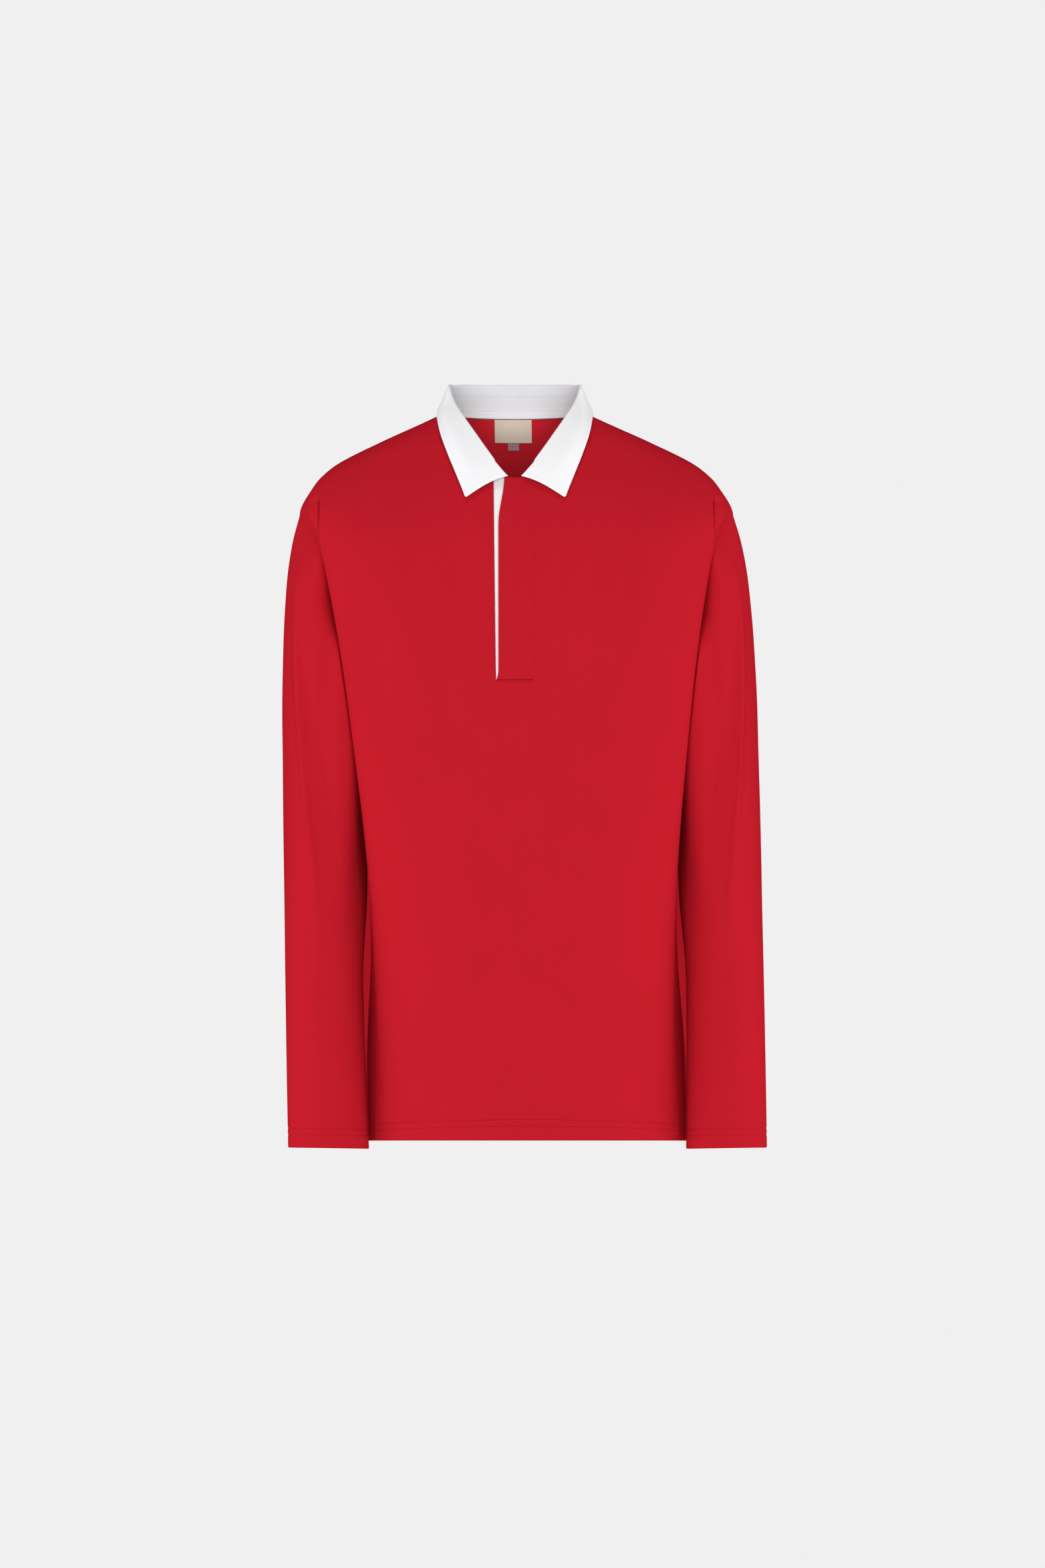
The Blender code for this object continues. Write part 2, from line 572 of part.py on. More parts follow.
def collar_frame(along):
    """Foot, roll line, free edge, and the ways up and out at places along the collar."""
    foot = neck_point(along)
    seat = smooth((along - SEAT_ALONG) / (1 - SEAT_ALONG))[:, None]
    foot = foot + seat * PLACKET_SEAT * np.array([0, -0.9, 0.45])
    roll = np.stack([COLLAR(f"roll_{axis}", along) for axis in "xyz"], axis=-1)
    edge = np.stack([COLLAR(f"edge_{axis}", along) for axis in "xyz"], axis=-1)
    up = unit(roll - foot)
    ahead = np.gradient(roll, along, axis=0)
    ahead[along == 0] = (1, 0, 0)
    out = unit(np.cross(up, ahead))
    return foot, roll, edge, up, out


def collar_places():
    """Places along the collar: the points of the panels' neck edges, and its front end."""
    ahead = np.linspace(0, 1, NECK_ROWS + 1)
    return np.concatenate([0.5 * ahead[:-1], 0.5 + (SLIT_ALONG - 0.5) * ahead, [1.0]])


def build_stand(white):
    along = collar_places()[:-1]
    foot, roll, _, up, out = collar_frame(along)
    outer = np.stack([foot + (roll - foot) * STAND_SHARE * f for f in (0.0, 0.5, 1.0)])
    outer[0] += up * SEAM_GAP
    outer[-1] -= up * SEAM_GAP / 2
    inner = outer - out[None] * COLLAR_CLOTH
    return cloth_wall("collar_stand", white, hang(both_sides(outer)), hang(both_sides(inner)))


def leaf_row(along, turn, f):
    """A row of the leaf: part of the turn round its roll, or of the fall from there."""
    _, roll, edge, up, out = collar_frame(along)
    fall = edge - roll
    spread = np.arctan2((fall * out).sum(axis=1), -(fall * up).sum(axis=1))
    radius = (ROLL_RADIUS * (1 - END_TAPER * smooth((along - 1 + TAPER_REACH) / TAPER_REACH)))[:, None]
    swing = ((np.pi - spread) * turn)[:, None]
    away = up * np.sin(swing) - out * np.cos(swing)
    start = roll - up * radius + out * (radius - COLLAR_CLOTH) + away * radius
    puff = COLLAR("puff", along)[:, None] * f * (1 - f) * (PUFF_LOW + PUFF_RISE * f)
    return start + (edge - start) * f + away * puff, away


def build_leaf(white):
    along = collar_places()
    foot, roll, _, up, out = collar_frame(along)
    rows = [foot + (roll - foot) * STAND_SHARE + up * SEAM_GAP / 2 - out * COLLAR_CLOTH]
    normals = [-out]
    for turn in ROLL_TURNS:
        row, away = leaf_row(along, turn, 0.0)
        rows.append(row)
        normals.append(away)
    for f in FALL_SHARES:
        bowed = along * (1 - END_BOW * 4 * f * (1 - f) * along**BOW_POWER)
        rows.append(leaf_row(bowed, 1.0, f)[0])
    outer = np.stack(rows)
    fall_rows = outer[-len(FALL_SHARES):]
    down = np.gradient(outer, axis=0)[-len(FALL_SHARES):]
    fallen = unit(np.cross(np.gradient(fall_rows, along, axis=1), down))
    normal = np.concatenate([np.stack(normals), fallen])
    normal[:, 0, 0] = 0
    inner = outer - normal * COLLAR_CLOTH
    return cloth_wall("collar_leaf", white, hang(both_sides(outer)), hang(both_sides(inner)))


def build_tape(white):
    """The tape over the back neck seam, on the inner face of the stand."""
    along = np.linspace(0, 0.5, NECK_ROWS + 1)
    foot, _, _, up, out = collar_frame(along)
    face = foot - out * (COLLAR_CLOTH + SEAM_GAP)
    outer = np.stack([face + up * height for height in (TAPE_LOW, TAPE_LOW + TAPE_HEIGHT)])
    inner = outer - out[None] * TRIM_CLOTH
    return cloth_wall("neck_tape", white, hang(both_sides(outer)), hang(both_sides(inner)))


# ---------------------------------------------------------------- placket
def chest_strip(name, cloth, left, right, heights, lift, thickness, columns=4):
    """A wall that follows the chest between two edges, lifted off it (below 0: behind it)."""
    rows, normals = [], []
    for z in heights:
        f = np.linspace(0, 1, columns)
        x = left(z) + (right(z) - left(z)) * f
        height = np.full(columns, z)
        share = edge_share(np.abs(x), height)
        turned = np.stack([np.sign(x), 0 * x + 1, 0 * x + 1], axis=-1)
        normals.append(torso_normal(share, height) * turned)
        rows.append(torso(share, height) * turned + normals[-1] * lift(f, z)[:, None])
    outer = np.stack(rows)
    return cloth_wall(name, cloth, hang(outer), hang(outer - np.stack(normals) * thickness))


def free_edge(z):
    """The overlap's free edge: it swings out to the neck over its top stretch."""
    swing = smooth((z - FREE_EDGE_TURN_Z) / (PLACKET_TOP_Z - FREE_EDGE_TURN_Z))
    return OVERLAP_EDGE_X + (OVERLAP_NECK_X - OVERLAP_EDGE_X) * swing


def overlap_lift(f, z):
    """The overlap stands proud at its free edge and is level at its seam and lower end."""
    proud = PLACKET_PROUD * smooth((z - PLACKET_END_Z) / PROUD_RISE)
    return OVERLAP_BASE + proud * (1 - f) ** 1.5


def build_placket(jersey, white):
    """The red overlap, its white facing, and the white underlap behind them both."""
    heights = np.concatenate([np.linspace(PLACKET_TOP_Z, FREE_EDGE_TURN_Z, 5),
                              np.linspace(FREE_EDGE_TURN_Z, PLACKET_END_Z + SEAM_GAP, 7)[1:]])
    facing_drop = BAND_CLOTH + 1.5 * SEAM_GAP
    under_drop = facing_drop + TRIM_CLOTH + SEAM_GAP
    facing_share = FACING_REACH / (OVERLAP_SEAM_X - OVERLAP_EDGE_X)
    chest_strip("placket_over", jersey, free_edge, lambda z: slit_right(z) - SEAM_GAP, heights,
                overlap_lift, BAND_CLOTH, columns=5)
    chest_strip("placket_facing", white, lambda z: free_edge(z) - FACING_SHOWS,
                lambda z: free_edge(z) + FACING_REACH, heights[:-1],
                lambda f, z: overlap_lift(f * facing_share, z) - facing_drop, TRIM_CLOTH, columns=2)
    chest_strip("placket_under", white, lambda z: slit_left(z) - UNDERLAP_TUCK,
                lambda z: free_edge(z) + UNDERLAP_REACH, heights,
                lambda f, z: 0 * f - under_drop, BAND_CLOTH, columns=4)


# ---------------------------------------------------------------- labels
def hanging_label(name, cloth, size, base, slant):
    """A label that hangs from the back neck seam, a little way inside the back panel."""
    width, top, bottom = size
    drops = np.linspace(top, bottom, 4)
    x = LABEL_MIDDLE_X + np.linspace(-width / 2, width / 2, 5)
    z = np.broadcast_to(-drops[:, None], (4, 5))
    share = np.broadcast_to(edge_share(np.abs(x), 0 * x), z.shape)
    turned = np.stack([np.sign(x), 0 * x + 1, 0 * x + 1], axis=-1)
    back, normal = torso(2 - share, z) * turned, torso_normal(2 - share, z) * turned
    back[..., 0] = x
    back[..., 1] -= (CLOTH + base) / normal[..., 1] + slant * drops[:, None]
    return cloth_wall(name, cloth, hang(back), hang(back - normal * LABEL_CLOTH))


def build_labels(beige, grey):
    hanging_label("size_label", grey, SIZE_LABEL_SIZE, SEAM_GAP, SIZE_LABEL_SLANT)
    hanging_label("neck_label", beige, NECK_LABEL_SIZE, 2 * SEAM_GAP + LABEL_CLOTH,
                  NECK_LABEL_SLANT)


def main():
    for old in list(bpy.data.objects):
        bpy.data.objects.remove(old, do_unlink=True)
    red = finish("red jersey", (0.558, 0.014, 0.028), 0.85)
    white = finish("white jersey", (0.90, 0.90, 0.92), 0.85)
    beige = finish("beige label", (0.60, 0.52, 0.42), 0.70)
    grey = finish("grey label", (0.26, 0.17, 0.19), 0.70)
    build_front(red)
    build_back(red)
    build_sleeve("sleeve_left", red, 1)
    build_sleeve("sleeve_right", red, -1)
    build_stand(white)
    build_leaf(white)
    build_tape(white)
    build_placket(red, white)
    build_labels(beige, grey)


if __name__ == "__main__":
    main()
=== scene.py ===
"""Looks of a long-sleeved polo shirt, hung out as if worn by a figure that is not there.

Every piece of cloth is drawn again as a fine surface on the same body sections, sleeve
rings and collar lines as its plain solid, which it replaces.  Soft folds and seam grooves
move that surface, and a wall, turned hems, stitches and a knitted finish complete it.
Metres, +Z up, the wearer faces -Y, and the origin is the middle of the neck base.
"""

from __future__ import annotations

import logging
import math
from dataclasses import dataclass, field
from enum import Enum
from typing import Callable, Iterable, Sequence, Union

import bmesh
import bpy
import numpy as np
from mathutils import Matrix, Vector


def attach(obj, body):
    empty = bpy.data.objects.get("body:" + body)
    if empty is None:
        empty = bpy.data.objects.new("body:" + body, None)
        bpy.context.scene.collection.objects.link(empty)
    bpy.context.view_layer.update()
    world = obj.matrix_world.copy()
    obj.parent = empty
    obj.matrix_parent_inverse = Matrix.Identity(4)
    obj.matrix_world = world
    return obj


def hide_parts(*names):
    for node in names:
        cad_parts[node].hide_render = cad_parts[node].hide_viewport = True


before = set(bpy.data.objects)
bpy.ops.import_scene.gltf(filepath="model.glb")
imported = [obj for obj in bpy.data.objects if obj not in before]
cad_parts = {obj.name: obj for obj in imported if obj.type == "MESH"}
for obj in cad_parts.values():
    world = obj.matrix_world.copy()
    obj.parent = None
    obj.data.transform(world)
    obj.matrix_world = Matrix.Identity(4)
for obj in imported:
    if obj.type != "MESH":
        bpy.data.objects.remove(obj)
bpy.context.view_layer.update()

log = logging.getLogger("polo_shirt")
Array = np.ndarray
Number = Union[float, Array]
Colour = tuple[float, float, float]
Spot = tuple[float, float, float]
Pair = tuple[float, float]
Run = tuple[Array, Array]
Material = bpy.types.Material
Socket = bpy.types.NodeSocket
Piece = bpy.types.Object

# ---- driving dimensions
SEAM_GAP = 0.0003         # between two pieces at a seam
JERSEY_WALL = 0.0011      # thickness of the red jersey
COLLAR_WALL = 0.0014      # thickness of the collar, two layers
BAND_WALL = 0.0012        # thickness of the placket bands
TRIM_WALL = 0.0010        # thickness of the neck tape and the placket's facing
LABEL_WALL = 0.0007       # thickness of a woven label
PANEL_WALL = 0.0015       # wall of the plain body panels, which labels stand clear of

HEM_FRONT_Z = -0.729
HEM_SIDE_Z = -0.741
HEM_TILT = 0.0866         # the front's hem rises this much for each metre towards the front
UNDERARM_Z = -0.265
SHOULDER_Z = -0.102
CUFF_Z = -0.741
CUFF_TILT = 0.0884        # the same for the cuffs

PLACKET_TOP_Z = -0.069
PLACKET_END_Z = -0.2738
OVERLAP_SEAM_X = 0.0188
OVERLAP_EDGE_X = -0.0162
OVERLAP_NECK_X = -0.0103
FREE_EDGE_TURN_Z = -0.118
SLIT_TOP_X = -0.0213
SLIT_END_X = -0.0188

SEAM_DIP = 0.00025        # how deep a seam pulls the cloth in
SEAM_DIP_WIDTH = 0.0012   # and how far from the seam
SEAM_SINK = 0.0001        # how far a sleeve's seam lies under the body's face
SEAM_TURN = 0.0001        # how far a seam allowance has gone in where it turns behind
STITCH_DIP = 0.00045      # how deep a row of stitches pulls it in
STITCH_DIP_WIDTH = 0.0011
HEM_FOLD_RADIUS = 0.0011  # half the thickness of a turned hem
HEM_FOLD_ROWS = 7         # rows round its fold
HEM_ROWS_LOST = 2         # rows of the outer face that the fold takes the place of
WELD_REACH = 0.00002      # points of two joined columns lie no further apart

FOLD_FADE = 0.022         # distance over which folds die out towards a seam
FOLD_STEPS = 24           # steps of a fold's path
FOLD_REACH = 3            # steps that a fold is followed past its ends
FOLD_TAPER = 2.6          # how fast a fold rises from its ends
LEVEL_SHARE = 0.1         # share of a half section that is still level at the centre
SHOULDER_ALONG = 0.5      # place of the shoulder line along the neck seam and the collar
CLOTH_MAP = "cloth"       # name of the map that holds places on the flat cloth, in metres


class Side(Enum):
    """The wearer's side that a piece belongs to."""

    LEFT = 1
    RIGHT = -1


class Panel(Enum):
    """The two panels of the body."""

    FRONT = "front"
    BACK = "back"


# ---- curves and tables
class Table:
    """A short table of named columns, read between its rows along a smooth curve."""

    def __init__(self, names: str, *rows: Sequence[float]) -> None:
        """Keep the rows in rising order of their first column.

        Args:
            names: The columns' names, the first one that of the key.
            rows: The table's rows.
        """
        ordered = np.array(sorted(rows))
        self.keys = ordered[:, 0]
        self.columns = dict(zip(names.split()[1:], ordered[:, 1:].T))

    def __call__(self, name: str, key: Number) -> Array:
        """Read a column between the rows.

        Args:
            name: The column.
            key: Where to read it.

        Returns:
            The column's values there.
        """
        values = self.columns[name]
        slopes = np.gradient(values, self.keys)
        key = np.clip(key, self.keys[0], self.keys[-1])
        low = np.clip(np.searchsorted(self.keys, key) - 1, 0, len(self.keys) - 2)
        span = self.keys[low + 1] - self.keys[low]
        f = (key - self.keys[low]) / span
        return (
            values[low] * (1 + 2 * f) * (1 - f) ** 2
            + values[low + 1] * f * f * (3 - 2 * f)
            + span * (slopes[low] * f * (1 - f) ** 2 - slopes[low + 1] * f * f * (1 - f))
        )


def smooth(f: Number) -> Array:
    """Ease from 0 to 1 with level ends."""
    f = np.clip(f, 0.0, 1.0)
    return f * f * (3 - 2 * f)


def unit(v: Array) -> Array:
    """Vectors scaled to a length of 1."""
    return v / np.maximum(np.linalg.norm(v, axis=-1, keepdims=True), 1e-12)


def rising(*stretches: tuple[float, int]) -> Array:
    """Rising places from 0 to 1, evenly spaced within each stretch.

    Args:
        stretches: The end of each stretch, as a share of the whole, and its steps.

    Returns:
        The places, the first of them 0.
    """
    places, start = [0.0], 0.0
    for end, steps in stretches:
        places.extend(start + (end - start) * (np.arange(steps) + 1) / steps)
        start = end
    return np.array(places)


def bezier(p: Sequence[Array], f: Array) -> Array:
    """Point of the cubic arc with control points p[0] to p[3] at parameter f."""
    f, g = f[..., None], 1 - f[..., None]
    return p[0] * g**3 + 3 * p[1] * f * g * g + 3 * p[2] * f * f * g + p[3] * f**3


def arc_trail(p: Sequence[Array], steps: int = 32) -> Array:
    """How far along a cubic arc each of its steps lies.

    Args:
        p: The arc's control points.
        steps: Number of steps.

    Returns:
        The distances, the first of them 0.
    """
    grid = np.broadcast_to(np.linspace(0, 1, steps + 1), p[0].shape[:-1] + (steps + 1,))
    trail = bezier([q[..., None, :] for q in p], grid)
    return run_along(trail, trail.ndim - 2)


def along_arc(p: Sequence[Array], run: Array, distance: Array) -> Array:
    """Point of a cubic arc at a distance along it.

    Args:
        p: The arc's control points.
        run: What arc_trail gave for it.
        distance: How far along it the point lies.

    Returns:
        The point.
    """
    steps = run.shape[-1] - 1
    low = np.clip((run < distance[..., None]).sum(axis=-1) - 1, 0, steps - 1)[..., None]
    start = np.take_along_axis(run, low, -1)[..., 0]
    end = np.take_along_axis(run, low + 1, -1)[..., 0]
    step = (distance - start) / np.maximum(end - start, 1e-9)
    return bezier(p, (low[..., 0] + np.clip(step, 0, 1)) / steps)


def mirrored(points: Array) -> Array:
    """Points on the wearer's other side."""
    return points * np.array([-1.0, 1.0, 1.0])


def run_along(points: Array, axis: int) -> Array:
    """Distance of each point from the first one along an axis: 0 for rows, 1 for columns."""
    steps = np.linalg.norm(np.diff(points, axis=axis), axis=-1)
    return np.cumsum(np.insert(steps, 0, 0.0, axis=axis), axis=axis)


def grid_normals(points: Array, closed: bool = False) -> Array:
    """Normals of a grid of points: rightwards across crossed with upwards.

    Args:
        points: Rows of points.
        closed: Whether the last column lies on the first.

    Returns:
        A unit normal for each point.
    """
    across = np.gradient(points, axis=1)
    if closed:
        across[:, 0] = across[:, -1] = points[:, 1] - points[:, -2]
    return unit(np.cross(across, np.gradient(points, axis=0)))


# ---- the figure's form
FRONT = Table(
    "z       depth    crest_x  crest_y  turn  flat   corner",
    (+0.002, -0.014, 0.0725, +0.008, 0, 0.55, 0.012),
    (-0.009, -0.026, 0.0960, +0.008, 0, 0.55, 0.019),
    (-0.028, -0.041, 0.1380, +0.008, 0, 0.55, 0.028),
    (-0.053, -0.056, 0.1860, +0.006, 0, 0.57, 0.034),
    (-0.077, -0.070, 0.2075, -0.006, 0, 0.62, 0.036),
    (-0.102, -0.082, 0.2135, -0.026, 0, 0.66, 0.032),
    (-0.125, -0.092, 0.2030, -0.046, 0, 0.70, 0.026),
    (-0.155, -0.101, 0.1950, -0.057, -6, 0.72, 0.023),
    (-0.202, -0.112, 0.1855, -0.067, -16, 0.72, 0.021),
    (-0.265, -0.120, 0.1755, -0.076, -22, 0.72, 0.021),
    (-0.350, -0.124, 0.1655, -0.080, -18, 0.74, 0.020),
    (-0.440, -0.127, 0.1570, -0.080, -5, 0.76, 0.019),
    (-0.530, -0.129, 0.1515, -0.078, 10, 0.78, 0.018),
    (-0.620, -0.131, 0.1500, -0.079, 14, 0.78, 0.018),
    (-0.741, -0.134, 0.1530, -0.083, 17, 0.78, 0.018),
)
BACK = Table(
    "z       depth    crest_x  crest_y  turn  flat   corner",
    (+0.002, 0.0615, 0.0725, 0.008, 0, 0.55, 0.030),
    (-0.009, 0.0665, 0.0960, 0.008, 0, 0.55, 0.032),
    (-0.028, 0.0770, 0.1380, 0.008, 0, 0.55, 0.038),
    (-0.053, 0.0880, 0.1860, 0.010, 0, 0.57, 0.042),
    (-0.077, 0.0960, 0.2075, 0.020, 0, 0.62, 0.042),
    (-0.102, 0.1020, 0.2130, 0.036, 0, 0.66, 0.038),
    (-0.125, 0.1060, 0.2050, 0.052, 0, 0.68, 0.032),
    (-0.155, 0.1095, 0.1970, 0.062, -6, 0.70, 0.028),
    (-0.202, 0.1130, 0.1870, 0.070, -14, 0.70, 0.026),
    (-0.265, 0.1150, 0.1790, 0.076, -20, 0.70, 0.026),
    (-0.350, 0.1150, 0.1750, 0.077, -18, 0.70, 0.026),
    (-0.440, 0.1160, 0.1740, 0.075, -10, 0.70, 0.026),
    (-0.530, 0.1180, 0.1740, 0.071, 0, 0.70, 0.028),
    (-0.620, 0.1210, 0.1755, 0.068, 5, 0.70, 0.030),
    (-0.741, 0.1250, 0.1780, 0.066, 8, 0.70, 0.032),
)
SIDE = Table(
    "z       x        y",
    (+0.002, 0.0725, 0.008),
    (-0.009, 0.0960, 0.008),
    (-0.028, 0.1380, 0.008),
    (-0.040, 0.1630, 0.008),
    (-0.053, 0.1860, 0.008),
    (-0.064, 0.1995, 0.008),
    (-0.077, 0.2095, 0.008),
    (-0.102, 0.2215, 0.006),
    (-0.125, 0.2140, 0.005),
    (-0.155, 0.1960, 0.005),
    (-0.202, 0.1705, 0.004),
    (-0.265, 0.1505, 0.003),
    (-0.350, 0.1430, 0.002),
    (-0.440, 0.1435, 0.004),
    (-0.530, 0.1520, 0.008),
    (-0.620, 0.1610, 0.010),
    (-0.741, 0.1720, 0.012),
)
ARMHOLE = Table(
    "z       front  back",
    (-0.102, 1.000, 1.000),
    (-0.110, 0.955, 0.965),
    (-0.118, 0.910, 0.932),
    (-0.126, 0.864, 0.905),
    (-0.134, 0.825, 0.884),
    (-0.145, 0.800, 0.867),
    (-0.160, 0.799, 0.861),
    (-0.185, 0.829, 0.872),
    (-0.225, 0.903, 0.925),
    (-0.250, 0.956, 0.966),
    (-0.265, 1.000, 1.000),
)
NECK_BACK = Table(
    "along  share  z",
    (0.00, 0.000, 0.0000),
    (0.25, 0.500, 0.0005),
    (0.42, 0.840, 0.0015),
    (0.50, 1.000, 0.0020),
)
NECK_FRONT = Table(
    "along  share  z",
    (0.50, 1.000, 0.0020),
    (0.58, 0.740, -0.0050),
    (0.67, 0.517, -0.0160),
    (0.75, 0.362, -0.0290),
    (0.83, 0.249, -0.0420),
    (0.92, 0.140, -0.0580),
    (1.00, 0.036, -0.0695),
)
SLEEVE = Table(
    "z       outer    half_x   y       half_y",
    (-0.102, 0.2220, 0.0700, +0.005, 0.044),
    (-0.125, 0.2283, 0.0620, +0.005, 0.050),
    (-0.155, 0.2334, 0.0560, +0.001, 0.057),
    (-0.202, 0.2379, 0.0490, -0.003, 0.062),
    (-0.265, 0.2408, 0.0425, -0.009, 0.063),
    (-0.350, 0.2425, 0.0400, -0.015, 0.060),
    (-0.440, 0.2425, 0.0395, -0.025, 0.052),
    (-0.495, 0.2418, 0.0390, -0.034, 0.046),
    (-0.560, 0.2415, 0.0393, -0.046, 0.040),
    (-0.650, 0.2407, 0.0397, -0.065, 0.033),
    (-0.741, 0.2396, 0.0407, -0.082, 0.025),
)
COLLAR = Table(
    "along  roll_x   roll_y   roll_z   edge_x  edge_y   edge_z   puff",
    (0.000, 0.0000, +0.0610, 0.0359, 0.0000, +0.0760, -0.0090, 0.0030),
    (0.125, 0.0270, +0.0570, 0.0356, 0.0330, +0.0710, -0.0095, 0.0030),
    (0.250, 0.0480, +0.0440, 0.0347, 0.0590, +0.0590, -0.0075, 0.0025),
    (0.375, 0.0615, +0.0280, 0.0326, 0.0760, +0.0400, -0.0030, 0.0008),
    (0.500, 0.0662, +0.0110, 0.0297, 0.0805, +0.0110, +0.0034, 0.0000),
    (0.600, 0.0608, -0.0085, 0.0125, 0.0768, -0.0330, -0.0180, 0.0012),
    (0.700, 0.0510, -0.0290, -0.0045, 0.0690, -0.0515, -0.0420, 0.0025),
    (0.800, 0.0380, -0.0475, -0.0245, 0.0610, -0.0655, -0.0625, 0.0030),
    (0.900, 0.0230, -0.0630, -0.0465, 0.0540, -0.0760, -0.0800, 0.0022),
    (1.000, 0.0064, -0.0740, -0.0678, 0.0502, -0.0820, -0.0900, 0.0006),
)


@dataclass(frozen=True)
class Figure:
    """The filled-out body: half sections at every height, from which panels are drawn."""

    return_reach: float = 0.40
    hang_rate: float = 0.0176
    plumb_half_width: float = 0.06
    plumb_end: float = 0.42
    plumb_fade: float = 0.15
    plumb_front: float = 0.03
    normal_step: float = 0.004
    normal_rise: float = 0.0015
    armhole_levels: int = 300

    def section_arcs(self, panel: Table, z: Array) -> tuple[list[Array], ...]:
        """The two arcs of a half section, to the crest and back from it, with trails.

        Args:
            panel: The front or the back table.
            z: Heights.

        Returns:
            Control points of both arcs, and both trails.
        """
        depth = panel("depth", z)
        crest_x, crest_y = panel("crest_x", z), panel("crest_y", z)
        turn, corner = np.radians(panel("turn", z)), panel("corner", z)
        side_x, side_y = SIDE("x", z), SIDE("y", z)
        zero, back = 0 * z, np.sign(side_y - depth)
        heading = np.stack([np.sin(turn), np.cos(turn) * back], axis=-1)
        crest = np.stack([crest_x, crest_y], axis=-1)
        side = np.stack([side_x, side_y], axis=-1)
        reach = self.return_reach * np.linalg.norm(side - crest, axis=-1, keepdims=True)
        across = [
            np.stack([zero, depth], axis=-1),
            np.stack([crest_x * panel("flat", z), depth], axis=-1),
            crest - heading * corner[..., None],
            crest,
        ]
        return_arc = [
            crest,
            crest + heading * reach,
            side - np.stack([zero, back], axis=-1) * reach,
            side,
        ]
        return across, return_arc, arc_trail(across), arc_trail(return_arc)

    def crest_share(self, panel: Table, z: Array) -> Array:
        """Share of a half section that lies between the centre line and the crest."""
        _, _, across_run, return_run = self.section_arcs(panel, z)
        return across_run[..., -1] / (across_run[..., -1] + return_run[..., -1])

    def half_section(self, panel: Table, share: Array, z: Array) -> Array:
        """Points (x, y) of half sections.

        Args:
            panel: The front or the back table.
            share: 0 at the centre line to 1 at the side line.
            z: Heights.

        Returns:
            The points.
        """
        across, return_arc, across_run, return_run = self.section_arcs(panel, z)
        distance = share * (across_run[..., -1] + return_run[..., -1])
        rest = distance - across_run[..., -1]
        first = along_arc(across, across_run, np.minimum(distance, across_run[..., -1]))
        second = along_arc(return_arc, return_run, np.maximum(rest, 0))
        return np.where((rest <= 0)[..., None], first, second)

    def body(self, panel: Panel, share: Number, z: Number) -> Array:
        """Point of the body on one panel's side.

        Args:
            panel: Front or back.
            share: 0 at the centre line to 1 at the side line.
            z: Height.

        Returns:
            The point, on the wearer's left.
        """
        share, z = np.broadcast_arrays(np.asarray(share, float), np.asarray(z, float))
        table = FRONT if panel is Panel.FRONT else BACK
        xy = self.half_section(table, share, z)
        return np.concatenate([xy, z[..., None]], axis=-1)

    def body_normal(self, panel: Panel, share: Number, z: Number) -> Array:
        """Outward normals of the body.

        Args:
            panel: Front or back.
            share: 0 at the centre line to 1 at the side line.
            z: Heights.

        Returns:
            The normals.
        """
        step, rise = self.normal_step, self.normal_rise
        ahead = self.body(panel, np.clip(share + step, 0, 1), z)
        behind = self.body(panel, np.clip(share - step, 0, 1), z)
        up = self.body(panel, share, z + rise) - self.body(panel, share, z - rise)
        outward = 1 if panel is Panel.FRONT else -1
        return unit(np.cross(ahead - behind, up) * outward)

    def share_at(self, panel: Panel, x: Array, z: Array) -> Array:
        """Share of a half section at a small distance from the centre line."""
        return LEVEL_SHARE * x / self.body(panel, LEVEL_SHARE, z)[..., 0]

    def place(self, panel: Panel, x: Array, z: Array) -> tuple[Array, Array]:
        """Point and outward normal of the body at a small distance from its centre line.

        Args:
            panel: Front or back.
            x: Distances across, to the wearer's left.
            z: Heights.

        Returns:
            The points and their normals.
        """
        x, z = np.broadcast_arrays(x, z)
        share = self.share_at(panel, np.abs(x), z)
        turned = np.stack([np.where(x < 0, -1.0, 1.0), 1 + 0 * x, 1 + 0 * x], axis=-1)
        points = self.body(panel, share, z) * turned
        return points, self.body_normal(panel, share, z) * turned

    def armhole_heights(self, panel: Panel, places: Array) -> Array:
        """Heights of points of the armhole.

        Args:
            panel: Front or back.
            places: Shares of the panel's edge, from the underarm up.

        Returns:
            The heights.
        """
        z = np.linspace(UNDERARM_Z, SHOULDER_Z, self.armhole_levels)
        trail = self.body(panel, ARMHOLE(panel.value, z), z)
        run = run_along(trail[:, None], 0)[:, 0]
        return np.interp(places * run[-1], run, z)

    def neck_point(self, along: Array) -> Array:
        """Point of the neck seam: 0 at the centre back to 1 at the front end."""
        rear = self.body(Panel.BACK, NECK_BACK("share", along), NECK_BACK("z", along))
        front = self.body(Panel.FRONT, NECK_FRONT("share", along), NECK_FRONT("z", along))
        return np.where((along <= SHOULDER_ALONG)[..., None], rear, front)

    def hang(self, points: Array) -> Array:
        """Let the shirt hang a little to one side, with its placket plumb.

        Args:
            points: Points of the upright shirt.

        Returns:
            The hung points.
        """
        moved = points.copy()
        drop = np.clip(-points[..., 2], 0, None)
        plumb = np.exp(-((points[..., 0] / self.plumb_half_width) ** 2))
        plumb *= smooth((self.plumb_end - drop) / self.plumb_fade)
        plumb *= smooth(-points[..., 1] / self.plumb_front)
        moved[..., 0] += self.hang_rate * drop * (1 - plumb)
        return moved


FIGURE = Figure()


